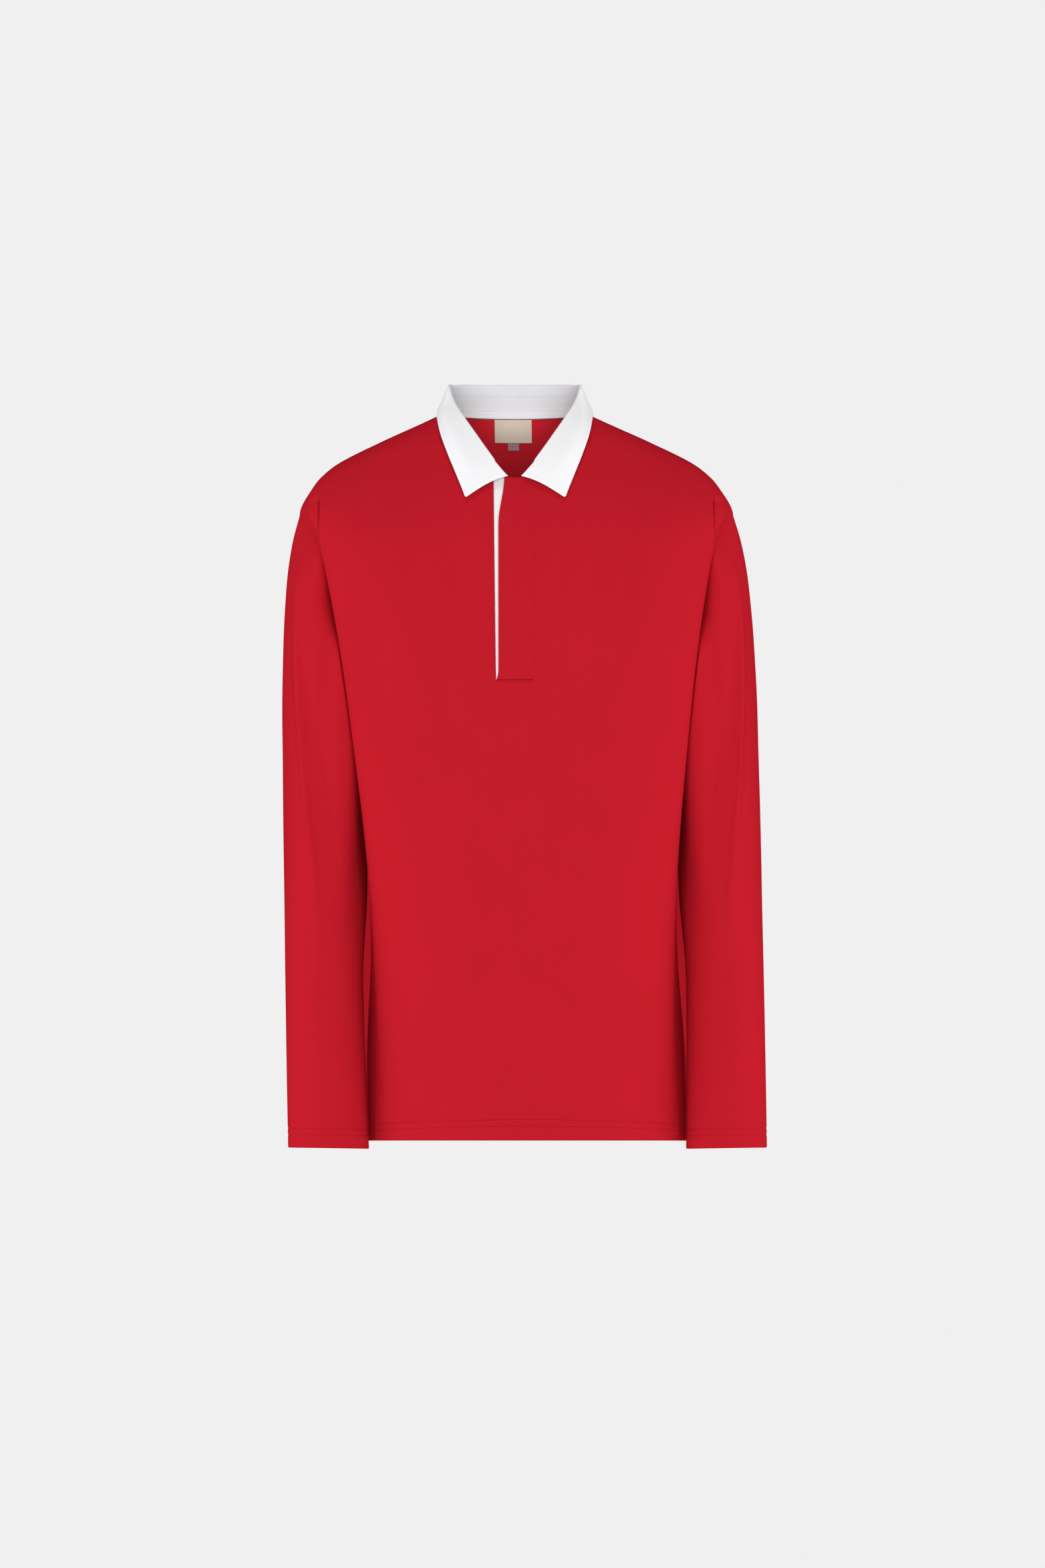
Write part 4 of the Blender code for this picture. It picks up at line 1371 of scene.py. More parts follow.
            # The inner faces take the red copy with painted light.
            piece = cloth_piece(
                f"{name}_jersey", FIGURE.hang(turned), self.red.face, JERSEY_WALL,
                reverse=self.red.reverse, **joins[panel],
            )
            stitches = sew(f"{name}_hem_stitches", lines, self.red.thread)
            dress(piece, name)


def slit_left(z: Array) -> Array:
    """The slit's edge on the wearer's right."""
    fall = (PLACKET_TOP_Z - z) / (PLACKET_TOP_Z - PLACKET_END_Z)
    return SLIT_TOP_X + (SLIT_END_X - SLIT_TOP_X) * fall


def slit_right(z: Array) -> Array:
    """The overlap's seam on the wearer's left."""
    return OVERLAP_SEAM_X + 0 * z


# ---- sleeves
@dataclass
class Sleeves:
    """Both sleeves: tubes that hang from the armholes and rest just off the body."""

    red: Cloth
    half_turn: int = 76
    drops: Array = field(
        default_factory=lambda: rising((0.012, 7), (0.955, 150), (1.0, 22))
    )
    settle: float = 0.055
    clear: float = 0.0022
    clear_settle: float = 0.03
    cuff_row: float = 0.0130
    cuff_level: float = -0.7480
    cuff_slope: float = 0.0012     # how much lower its edge lies towards the body
    cuff_back: float = 0.0032      # and how much higher behind
    inner_corner: float = 0.32     # how square the tube is where it faces the body, near its top
    inner_corner_end: float = -0.52    # where that has died out
    inner_corner_fade: float = 0.20    # and over what height it does
    inner_reach: float = 0.007         # how far its back swings towards the body
    inner_front: float = 0.7           # sine of the angle in front where the swing ends
    inner_low: float = -0.58           # the swing's lower and upper end
    inner_high: float = -0.28
    inner_fade: float = 0.10
    cuff_back_rise: float = 1.6        # how fast the cuff's edge rises behind
    cuff_start: float = 0.7            # share of the drop from which its slope sets in
    allowance: float = 0.0050      # how far its seam allowance reaches inside the body
    allowance_gap: float = 0.0002
    needle_gap: float = 0.0065
    turned_rows: tuple[int, ...] = (19, 12, 5, 2)
    fold_angle: float = 2.35       # folds end this far round, where it faces the body
    fold_angle_fade: float = 0.5
    fold_start: float = 0.05       # and fade over this distance below the armhole
    underarm_dip: float = 0.6      # the underarm seam's share of a seam's dip
    probe_levels: int = 260        # sections of the body that it is kept clear of
    probe_places: int = 71
    probe_start: float = 0.3
    probe_margin: float = 0.01
    cut: Pair = (0.33, 0.62)
    shaping: float = 0.80          # share of its rectangle that the cut fills
    folds: tuple[Fold, ...] = ()

    def armhole_ring(self) -> tuple[Array, Array]:
        """The top edge once round, just off the body, and the body's normals there.

        Returns:
            Points from the underarm up the front and down the back, and their normals.
        """
        places = np.linspace(0, 1, self.half_turn + 1)
        front_z = FIGURE.armhole_heights(Panel.FRONT, places)
        back_z = FIGURE.armhole_heights(Panel.BACK, places)[::-1]
        ring, normals = [], []
        for panel, z in ((Panel.FRONT, front_z[:-1]), (Panel.BACK, back_z)):
            share = ARMHOLE(panel.value, z)
            normals.append(FIGURE.body_normal(panel, share, z))
            ring.append(FIGURE.body(panel, share, z) - normals[-1] * SEAM_SINK)
        ring, normals = np.concatenate(ring), np.concatenate(normals)
        normals[0] = normals[-1] = unit(normals[0] + normals[-1])
        ring[-1] = ring[0]
        return ring, normals

    def seam_allowance(self) -> Array:
        """Rows that carry the cloth on behind the body's edge, as a sewn seam does.

        Returns:
            The rows, the first within the wall at the seam.
        """
        ring, normals = self.armhole_ring()
        along = np.gradient(ring, axis=0)
        along[0] = along[-1] = ring[1] - ring[-2]
        inwards = unit(np.cross(along, normals))
        behind = ring - normals * (JERSEY_WALL + self.allowance_gap)
        reaches = (SEAM_TURN, self.allowance / 2, self.allowance)
        step = [behind + inwards * reach for reach in reaches]
        return np.stack([ring - normals * JERSEY_WALL / 2, *step])

    def tube(self, angle: Array, z: Array) -> Array:
        """Points of the free tube.

        Args:
            angle: 0 outside, a quarter turn in front.
            z: Heights.

        Returns:
            The points.
        """
        middle = SLEEVE("outer", z) - SLEEVE("half_x", z)
        corner = np.clip(-np.sin(2 * angle) * np.sign(np.sin(angle)), 0, None) ** 2
        fade = smooth((z - self.inner_corner_end) / self.inner_corner_fade)
        corner = 1 + self.inner_corner * corner * fade
        inner = np.clip(-np.cos(angle), 0, 1) ** 2 * smooth(self.inner_front - np.sin(angle))
        reach = self.inner_reach * smooth((z - self.inner_low) / self.inner_fade)
        reach = reach * smooth((self.inner_high - z) / self.inner_fade)
        return np.stack(
            [middle + SLEEVE("half_x", z) * np.cos(angle) * corner - reach * inner,
             SLEEVE("y", z) - SLEEVE("half_y", z) * np.sin(angle) * corner, z],
            axis=-1,
        )

    def clear_of_body(self, points: Array, clearance: Array) -> Array:
        """Points moved out, level, until they are at least a clearance off the body.

        Args:
            points: Rows of points.
            clearance: How far each has to be off.

        Returns:
            The moved points.
        """
        low, high = CUFF_Z - self.probe_margin, SHOULDER_Z + self.probe_margin
        levels = np.linspace(low, high, self.probe_levels)[:, None]
        share = np.linspace(self.probe_start, 1.0, self.probe_places)[None, :]
        sections = np.concatenate(
            [FIGURE.body(Panel.FRONT, share, levels),
             FIGURE.body(Panel.BACK, share[:, -2::-1], levels)],
            axis=1,
        )[..., :2]
        along = np.gradient(sections, axis=1)
        outwards = unit(np.stack([along[..., 1], -along[..., 0]], axis=-1))
        moved = points.copy()
        place = np.interp(points[..., 2], levels[:, 0], np.arange(len(levels)))
        for r, row in enumerate(points):
            low = np.clip(place[r].astype(int), 0, len(levels) - 2)
            f = (place[r] - low)[:, None, None]
            section = sections[low] * (1 - f) + sections[low + 1] * f
            outward = outwards[low] * (1 - f) + outwards[low + 1] * f
            away = row[:, None, :2] - section
            nearest = np.linalg.norm(away, axis=-1).argmin(axis=-1)
            spot = np.arange(len(row))
            out = unit(outward[spot, nearest])
            spare = (away[spot, nearest] * out).sum(axis=-1) - clearance[r]
            eased = np.hypot(spare, np.maximum(clearance[r], 1e-6))
            moved[r, :, :2] += out * ((eased - spare) / 2)[:, None]
        return moved

    def outer_face(self) -> tuple[Array, Array]:
        """The left sleeve's smooth face, from the cuff up, closed on itself.

        Returns:
            Its points, and the angle of each, 0 outside and positive in front.
        """
        ring, _ = self.armhole_ring()
        turn = np.linspace(math.pi, -math.pi, len(ring))[None, :]
        top_z = ring[None, :, 2]
        drops = self.drops[::-1, None]
        y = SLEEVE("y", CUFF_Z) - SLEEVE("half_y", CUFF_Z) * np.sin(turn)
        edge_z = self.cuff_level - CUFF_TILT * y - self.cuff_slope * (1 - np.cos(turn)) / 2
        edge_z += self.cuff_back * smooth(-self.cuff_back_rise * np.sin(turn))
        slope = (edge_z - CUFF_Z) * smooth((drops - self.cuff_start) / (1 - self.cuff_start))
        z = top_z + (CUFF_Z + slope - top_z) * drops
        angle, top_z = np.broadcast_to(turn, z.shape), np.broadcast_to(top_z, z.shape)
        pull = ring[None] - self.tube(angle, top_z)
        hold = 1 - smooth((top_z - z) / self.settle)
        free = self.tube(angle, z) + pull * hold[..., None]
        clearance = self.clear * smooth((top_z - z) / self.clear_settle) - SEAM_SINK
        return self.clear_of_body(free, clearance), angle

    def build(self) -> None:
        """Build and dress both sleeves."""
        smooth_face, angle = self.outer_face()
        outwards = grid_normals(smooth_face, closed=True)
        across, up = run_along(smooth_face, 1), run_along(smooth_face, 0)
        middle = smooth_face.shape[1] // 2
        around = across[:, middle : middle + 1] - across
        top = up[-1:] - up
        underarm = np.minimum(across, across[:, -1:] - across)
        free_side = smooth((self.fold_angle - np.abs(angle)) / self.fold_angle_fade)
        free_side = free_side * smooth(top / self.fold_start)
        rows = (self.cuff_row, self.cuff_row + self.needle_gap)
        for side in Side:
            folds = self.folds if side is Side.LEFT else other_sleeve_folds(self.folds)
            lift = lifted(folds, around, smooth_face[..., 2]) * free_side
            lift += dip(underarm, SEAM_DIP * self.underarm_dip, SEAM_DIP_WIDTH)
            for row in rows:
                lift += dip(up - row, STITCH_DIP, STITCH_DIP_WIDTH)
            points = smooth_face + outwards * lift[..., None]
            normals = grid_normals(points, closed=True)
            turned = turned_hem(points, normals, self.turned_rows)
            turned = np.concatenate([turned, self.seam_allowance()])
            if side is Side.RIGHT:
                turned, points = mirrored(turned)[:, ::-1], mirrored(points)
                normals = mirrored(normals)
            lines = [stitch_run(points, normals, up, row) for row in rows]
            name = f"sleeve_{side.name.lower()}"
            sleeve = cloth_piece(
                f"{name}_jersey", FIGURE.hang(turned), self.red.face, JERSEY_WALL,
                weld=(0, turned.shape[1] - 1),
            )
            stitches = sew(f"{name}_cuff_stitches", lines, self.red.thread)
            dress(sleeve, name)


def other_sleeve_folds(folds: Iterable[Fold]) -> list[Fold]:
    """The other sleeve's folds: the same kind, a little lower and a little flatter.

    Args:
        folds: One sleeve's folds.

    Returns:
        The other's.
    """
    shares, drops, height, width = (0.94, 1.05, 0.97), (0.012, 0.006, 0.014), 0.92, 1.06
    changed = []
    for f in folds:
        path = [
            (spot[0] * share, spot[1] - drop)
            for spot, share, drop in zip((f.start, f.bend, f.end), shares, drops)
        ]
        changed.append(Fold(*path, f.height * height, f.width * width, f.lean))
    return changed


# ---- collar
@dataclass
class Collar:
    """The standing band, the leaf that folds over it, and the tape inside the neck."""

    white: Cloth
    tape: Material
    stand_share: float = 0.68
    roll_radius: float = 0.0018
    placket_seat: float = 0.0040
    seat_along: float = 0.85
    seat_way: Spot = (0.0, -0.9, 0.45)   # which way the neck seam moves onto the placket
    tape_low: float = 0.0008
    tape_height: float = 0.0085
    tape_stitch: float = 0.0011    # from each of its edges to its stitches
    edge_stitch: float = 0.0060
    stitch_dip: Pair = (0.00014, 0.0009)   # depth and width of each dip
    edge_dip: Pair = (0.0003, 0.0007)
    seam_dip: Pair = (0.0003, 0.0010)
    hollow: Pair = (0.0004, 0.0055)
    hollow_place: float = 0.0125   # from the free edge to the leaf's shallow hollow
    hollow_fade: float = 0.02      # and from the front end, where that fades
    tip_radius: float = 0.0022
    end_bow: float = 0.0125        # how far the leaf's front end bows back, as a share of it
    bow_power: int = 8             # how close to the end the bow stays
    puff_low: float = 1.8          # how full the leaf is below its roll
    puff_rise: float = 3.7         # and how much fuller towards its edge
    end_taper: float = 0.20        # how much thinner its roll is at the front end
    taper_start: float = 0.85
    tuck: float = 0.0030           # how far its seam reaches down inside the band
    stand_end: float = 0.945       # where the band ends, hidden by the leaf
    roll_end: float = 0.84         # from here on its roll runs out
    roll_loss: float = 0.88        # share of it that is gone at the end
    roll_loss_rise: float = 1.6
    climb_end: float = 0.93        # from here on it is the fall alone
    climb_places: tuple[float, ...] = (0.0, 0.06, 0.2, 0.4, 0.6, 0.8)
    tuck_top: float = 0.0002       # how far below the band's edge the seam turns
    inner_share: float = 0.65      # where on its roll the inner side, with its painted shade, begins
    leaf_places: Array = field(default_factory=lambda: rising((0.955, 96), (1.0, 18)))
    fall_places: Array = field(default_factory=lambda: rising((0.78, 30), (1.0, 26))[1:])
    roll_steps: int = 10
    leaf_cut: Pair = (0.45, 0.075)
    leaf_shaping: float = 0.85     # share of its rectangle that the cut fills
    stand_cut: Pair = (0.40, 0.026)
    tape_cut: Pair = (0.18, 0.0100)

    def lines(self, along: Array) -> tuple[Array, ...]:
        """Foot, roll line, free edge, and the ways up and out at places along the collar.

        Args:
            along: 0 at the centre back to 1 at the front end.

        Returns:
            The five rows of points and vectors.
        """
        foot = FIGURE.neck_point(along)
        seat = smooth((along - self.seat_along) / (1 - self.seat_along))[:, None]
        foot = foot + seat * self.placket_seat * np.array(self.seat_way)
        roll = np.stack([COLLAR(f"roll_{axis}", along) for axis in "xyz"], axis=-1)
        edge = np.stack([COLLAR(f"edge_{axis}", along) for axis in "xyz"], axis=-1)
        up = unit(roll - foot)
        ahead = np.gradient(roll, along, axis=0)
        ahead[along == 0] = (1, 0, 0)
        return foot, roll, edge, up, unit(np.cross(up, ahead))

    @staticmethod
    def both_sides(right: Array) -> Array:
        """A grid over both halves from one whose first column lies on the centre back."""
        return np.concatenate([right[:, :0:-1], mirrored(right)], axis=1)

    def build(self) -> None:
        """Build and dress the band, the leaf and the tape."""
        self.build_stand()
        self.build_leaf()
        self.build_tape()

    def build_stand(self) -> None:
        """Build and dress the band."""
        along = self.stand_end * rising((0.985, 80), (1.0, 5))
        foot, roll, _, up, _ = self.lines(along)
        height = (roll - foot) * self.stand_share
        points = np.stack([foot + height * f for f in rising((0.1, 4), (0.9, 14), (1.0, 4))])
        points[0] += up * SEAM_GAP
        points[-1] -= up * SEAM_GAP / 2
        points = self.both_sides(points)
        points = moved_out(points, edge_dips(run_along(points, 0), *self.seam_dip))
        # The band's inner face takes the white copy with painted shade.
        stand = cloth_piece(
            "collar_stand_band", FIGURE.hang(points), self.white.face, COLLAR_WALL,
            reverse=self.white.reverse,
        )
        dress(stand, "collar_stand")

    def leaf_face(self) -> Array:
        """The leaf's outer face, from its seam on the band over the roll to the free edge.

        Returns:
            Rows of its points, on one half.
        """
        along = self.leaf_places
        foot, roll, _, up, out = self.lines(along)
        seam = foot + (roll - foot) * self.stand_share + up * SEAM_GAP / 2 - out * COLLAR_WALL
        past = (along - self.roll_end) / (1 - self.roll_end)
        run_out = self.roll_loss * smooth(self.roll_loss_rise * past)
        rows = [
            self.leaf_row(along, turn + (1 - turn) * run_out, 0.0)
            for turn in np.linspace(0, 1, self.roll_steps + 1)
        ]
        tucked = seam + out * COLLAR_WALL / 2
        climb = [tucked - up * self.tuck, tucked - up * self.tuck_top]
        climb += [seam + (rows[0] - seam) * f for f in self.climb_places]
        for f in self.fall_places:
            bow = self.end_bow * 4 * f * (1 - f) * along**self.bow_power
            rows.append(self.leaf_row(along * (1 - bow), np.ones_like(along), f))
        return np.stack(climb + rows)

    def first_rows(self) -> Array:
        """First row of the leaf that is kept in each column: near its end, the fall's."""
        fall_start = len(self.leaf_face()) - len(self.fall_places) - 1
        return np.where(self.leaf_places < self.climb_end, 0, fall_start)

    def leaf_row(self, along: Array, turn: Array, f: float) -> Array:
        """One row of the leaf's outer face.

        Args:
            along: Places along the collar.
            turn: How far round the roll the row lies at each place.
            f: Share of the fall, from the roll to the free edge.

        Returns:
            The row's points.
        """
        _, roll, edge, up, out = self.lines(along)
        fall = edge - roll
        spread = np.arctan2((fall * out).sum(axis=1), -(fall * up).sum(axis=1))
        taper = smooth((along - self.taper_start) / (1 - self.taper_start))
        radius = self.roll_radius * (1 - self.end_taper * taper)[:, None]
        centre = roll - up * radius + out * (radius - COLLAR_WALL)
        swing = ((np.pi - spread) * turn)[:, None]
        away = up * np.sin(swing) - out * np.cos(swing)
        start = centre + away * radius
        puff = f * (1 - f) * (self.puff_low + self.puff_rise * f)
        return start + (edge - start) * f + away * puff * COLLAR("puff", along)[:, None]

    def round_tips(self, points: Array, low: Array, front: Array) -> Array:
        """Round a leaf's corner where its lower edge meets its front end.

        Args:
            points: Rows of one half of the leaf.
            low: Distance of each point from the lower edge.
            front: Distance from the front end.

        Returns:
            The points, those within the corner drawn in.
        """
        radius = self.tip_radius
        u = np.clip(1 - front / radius, 0, 1)
        v = np.clip(1 - low / radius, 0, 1)
        new_u, new_v = u * np.sqrt(1 - v * v / 2), v * np.sqrt(1 - u * u / 2)
        back = unit(points[:, -4:-3] - points[:, -1:])
        upwards = unit(points[-4:-3] - points[-1:])
        shift = back * ((u - new_u) * radius)[..., None]
        return points + shift + upwards * ((v - new_v) * radius)[..., None]

    def leaf_stitches(self, points: Array, low: Array, front: Array) -> list[Run]:
        """Rows of stitches inside the leaf's free edges, on both its halves.

        Args:
            points: Rows of one half of the leaf.
            low: Distance of each point from the lower edge.
            front: Distance from the front end.

        Returns:
            Points along each row, and the normals there.
        """
        inside = self.edge_stitch
        runs = []
        for values in (points, grid_normals(points)):
            edge = level_line(values[::-1], low[::-1], inside)[front[-1] > inside]
            fall = low[:, -1] > inside
            fall &= np.arange(len(points)) > len(points) - len(self.fall_places)
            runs.append((edge, upright_line(values[:, ::-1], front[:, ::-1], inside)[fall]))
        lines = []
        for trail, normal in zip(*runs):
            lines.append((FIGURE.hang(trail), normal))
            lines.append((FIGURE.hang(mirrored(trail)), mirrored(normal)))
        return lines

    def build_leaf(self) -> None:
        """Build and dress the leaf, with a row of stitches inside its free edges."""
        points = self.leaf_face()
        low = run_along(points[::-1], 0)[::-1]
        front = run_along(points[:, ::-1], 1)[:, ::-1]
        points = self.round_tips(points, low, front)
        inside_edge = np.minimum(low, front)
        lift = dip(inside_edge - self.edge_stitch, *self.stitch_dip)
        lift += dip(inside_edge, *self.edge_dip)
        lift += dip(low - self.hollow_place, *self.hollow) * smooth(front / self.hollow_fade)
        points = moved_out(points, lift)
        whole = self.both_sides(points)
        first = self.first_rows()
        first = np.concatenate([first[:0:-1], first])
        inner_rows = len(self.fall_places) + round(self.inner_share * self.roll_steps)
        # The inner side of the roll and the climb take the white copy with painted shade.
        leaf = cloth_piece(
            "collar_leaf_fall", FIGURE.hang(whole)[::-1], self.white.face, COLLAR_WALL,
            keep=lambda r, c: len(whole) - 2 - r >= max(first[c], first[c + 1]),
            reverse=self.white.reverse,
            turned=lambda r, c: r > inner_rows,
        )
        lines = self.leaf_stitches(points, low, front)
        stitches = sew("collar_leaf_stitches", lines, self.white.thread, LEAF_STITCH)
        dress(leaf, "collar_leaf")

    def build_tape(self) -> None:
        """Build and dress the tape over the back neck seam, inside the band."""
        along = SHOULDER_ALONG * rising((1.0, 60))
        foot, _, _, up, out = self.lines(along)
        face = foot - out * (COLLAR_WALL + SEAM_GAP)
        places = rising((0.15, 4), (0.85, 8), (1.0, 4))
        points = np.stack([face + up * (self.tape_low + self.tape_height * f) for f in places])
        points = self.both_sides(points)
        rise = run_along(points, 0)
        points = moved_out(points, edge_dips(rise, *self.edge_dip))
        strip = cloth_piece("neck_tape_strip", FIGURE.hang(points), self.tape, TRIM_WALL)
        inner = points - grid_normals(points) * TRIM_WALL
        lines = [
            stitch_run(inner, -grid_normals(points), rise, height)
            for height in (self.tape_stitch, self.tape_height - self.tape_stitch)
        ]
        stitches = sew("neck_tape_stitches", lines, self.white.thread, TAPE_STITCH)
        dress(strip, "neck_tape")


# ---- placket
@dataclass
class Placket:
    """The red overlap, its white facing, and the white underlap behind them both."""

    red: Cloth
    white: Cloth
    front_folds: tuple[Fold, ...] = ()
    overlap_folds: tuple[Fold, ...] = ()
    underlap_tuck: float = 0.006
    underlap_reach: float = 0.024
    facing_shows: float = 0.0006
    facing_reach: float = 0.012
    proud: float = 0.0014         # how far the overlap's free edge stands off the front
    proud_power: float = 1.5
    proud_rise: float = 0.03
    base: float = 0.0002          # and the rest of it
    seat_power: int = 6           # how close to its seam it sinks into the front
    close_drop: float = 0.009     # how far above its end the opening starts to close
    seam_tuck: float = 0.0030     # how far the overlap's seam reaches behind the front
    seam_lap: float = 0.0002      # how far its edge lies under the front's, so no gap shows
    under_rise: float = 0.0030    # how far the underlap goes on up behind the leaf
    leaf_hides_x: float = -0.009  # which hides it beyond here
    leaf_hides_fade: float = 0.003
    end_row: float = 0.0005       # the end's stitches above its edge
    facing_stop: float = 0.008    # how far above the end the facing stops
    free_dip: Pair = (0.0004, 0.0009)   # depth and width of each dip
    over_seam_dip: Pair = (0.00004, 0.0010)
    end_dip: Pair = (0.0008, 0.0014)
    top_dip: Pair = (0.0002, 0.0010)
    facing_dip: Pair = (0.0002, 0.0005)
    over_cut: Pair = (0.037, 0.205)
    facing_cut: Pair = (0.013, 0.190)
    under_cut: Pair = (0.032, 0.205)

    def free_edge(self, z: Array) -> Array:
        """The overlap's free edge: it swings out to the neck over its top stretch."""
        swing = smooth((z - FREE_EDGE_TURN_Z) / (PLACKET_TOP_Z - FREE_EDGE_TURN_Z))
        return OVERLAP_EDGE_X + (OVERLAP_NECK_X - OVERLAP_EDGE_X) * swing

    def closing_edge(self, z: Array) -> Array:
        """The same, closing over the opening's lower end."""
        close = np.clip(1 - (z - PLACKET_END_Z) / self.close_drop, 0, 1) ** 2
        return self.free_edge(z) * (1 - close) + (slit_left(z) + SEAM_GAP) * close

    def overlap_lift(self, f: Array, z: Array) -> Array:
        """The overlap stands proud at its free edge, and is level at its seam and end."""
        proud = self.proud * smooth((z - PLACKET_END_Z) / self.proud_rise)
        return self.base + proud * (1 - f) ** self.proud_power

    def strip(
        self,
        left: Callable[[Array], Array],
        right: Callable[[Array], Array],
        heights: Array,
        places: Array,
        lift: Callable[[Array, Array], Array],
    ) -> tuple[Array, Array]:
        """A strip that follows the chest between two edges.

        Args:
            left: Its edge on the wearer's right, at a height.
            right: Its other edge.
            heights: Its rows, from the top down.
            places: Its columns, as shares of its width.
            lift: How far it lies off the chest.

        Returns:
            Its points from the lowest row up, and their normals.
        """
        z = heights[::-1, None] + 0 * places[None, :]
        x = left(z) + (right(z) - left(z)) * places[None, :]
        points, normals = FIGURE.place(Panel.FRONT, x, z)
        rise = lift(0 * z + places[None, :], z) + lifted(self.front_folds, x, z)
        return points + normals * rise[..., None], normals

    def heights(self) -> Array:
        """Heights of the bands' rows, from the top down."""
        span = PLACKET_TOP_Z - (PLACKET_END_Z + SEAM_GAP)
        return PLACKET_TOP_Z - span * rising((0.02, 5), (0.93, 90), (1.0, 16))

    def build_overlap(self) -> None:
        """Build and dress the overlap, with the stitches that hold its end."""
        heights = self.heights()
        sink = self.base + self.seam_lap / 2
        points, face = self.strip(
            self.closing_edge, lambda z: slit_right(z) + self.seam_lap,
            heights - SEAM_GAP * rising((1.0, len(heights) - 1)),
            rising((0.06, 4), (0.93, 22), (1.0, 4)),
            lambda f, z: self.overlap_lift(f, z) - sink * f**self.seat_power,
        )
        across, up = run_along(points, 1), run_along(points, 0)
        lift = dip(across, *self.free_dip) + dip(across[:, -1:] - across, *self.over_seam_dip)
        lift += dip(up, *self.end_dip) + dip(up[-1:] - up, *self.top_dip)
        lift += lifted(self.overlap_folds, points[..., 0], points[..., 2])
        points = moved_out(points, lift)
        behind = points[:, -1:] - face[:, -1:] * (JERSEY_WALL + SEAM_GAP)
        reach = np.array([SEAM_TURN, self.seam_tuck])[None, :, None] * np.array([1.0, 0, 0])
        tucked = np.concatenate([points, behind + reach], axis=1)
        over = cloth_piece("placket_overlap", FIGURE.hang(tucked), self.red.face, BAND_WALL)
        trail, normal = stitch_run(points, grid_normals(points), up, self.end_row)
        stitches = sew(
            "placket_end_stitches", [(trail[2:-2], normal[2:-2])], self.red.thread, END_STITCH
        )
        dress(over, "placket_over")

    def build(self) -> None:
        """Build and dress the three bands."""
        self.build_overlap()
        heights = self.heights()
        facing_drop = BAND_WALL + 1.5 * SEAM_GAP
        facing_share = self.facing_reach / (OVERLAP_SEAM_X - OVERLAP_EDGE_X)
        points, _ = self.strip(
            lambda z: self.free_edge(z) - self.facing_shows,
            lambda z: self.free_edge(z) + self.facing_reach,
            heights[heights > PLACKET_END_Z + self.facing_stop], rising((0.12, 4), (1.0, 8)),
            lambda f, z: self.overlap_lift(f * facing_share, z) - facing_drop,
        )
        points = moved_out(points, dip(run_along(points, 1), *self.facing_dip))
        hung = FIGURE.hang(points)
        facing = cloth_piece("placket_facing_strip", hung, self.white.face, TRIM_WALL)
        dress(facing, "placket_facing")

        under_drop = facing_drop + TRIM_WALL + SEAM_GAP
        points, _ = self.strip(
            lambda z: slit_left(z) - self.underlap_tuck,
            lambda z: self.free_edge(z) + self.underlap_reach,
            heights, rising((0.2, 6), (0.9, 20), (1.0, 3)), lambda f, z: 0 * f - under_drop,
        )
        behind_leaf = smooth((self.leaf_hides_x - points[-1:, :, :1]) / self.leaf_hides_fade)
        rise = unit(points[-1:] - points[-2:-1]) * (SEAM_TURN + self.under_rise * behind_leaf)
        points = np.concatenate([points, points[-1:] + rise])
        under = cloth_piece("placket_underlap", FIGURE.hang(points), self.white.face, BAND_WALL)
        dress(under, "placket_under")


# ---- labels
@dataclass(frozen=True)
class Wave:
    """A soft wave across a label, growing downwards from where it starts."""

    depth: float
    rate: float
    phase: float
    start: float
    reach: float

    def lift(self, side: Array, fall: Array) -> Array:
        """How far it moves each place of a label."""
        grown = smooth((fall - self.start) / self.reach)
        return self.depth * np.sin(side * self.rate + self.phase) * grown


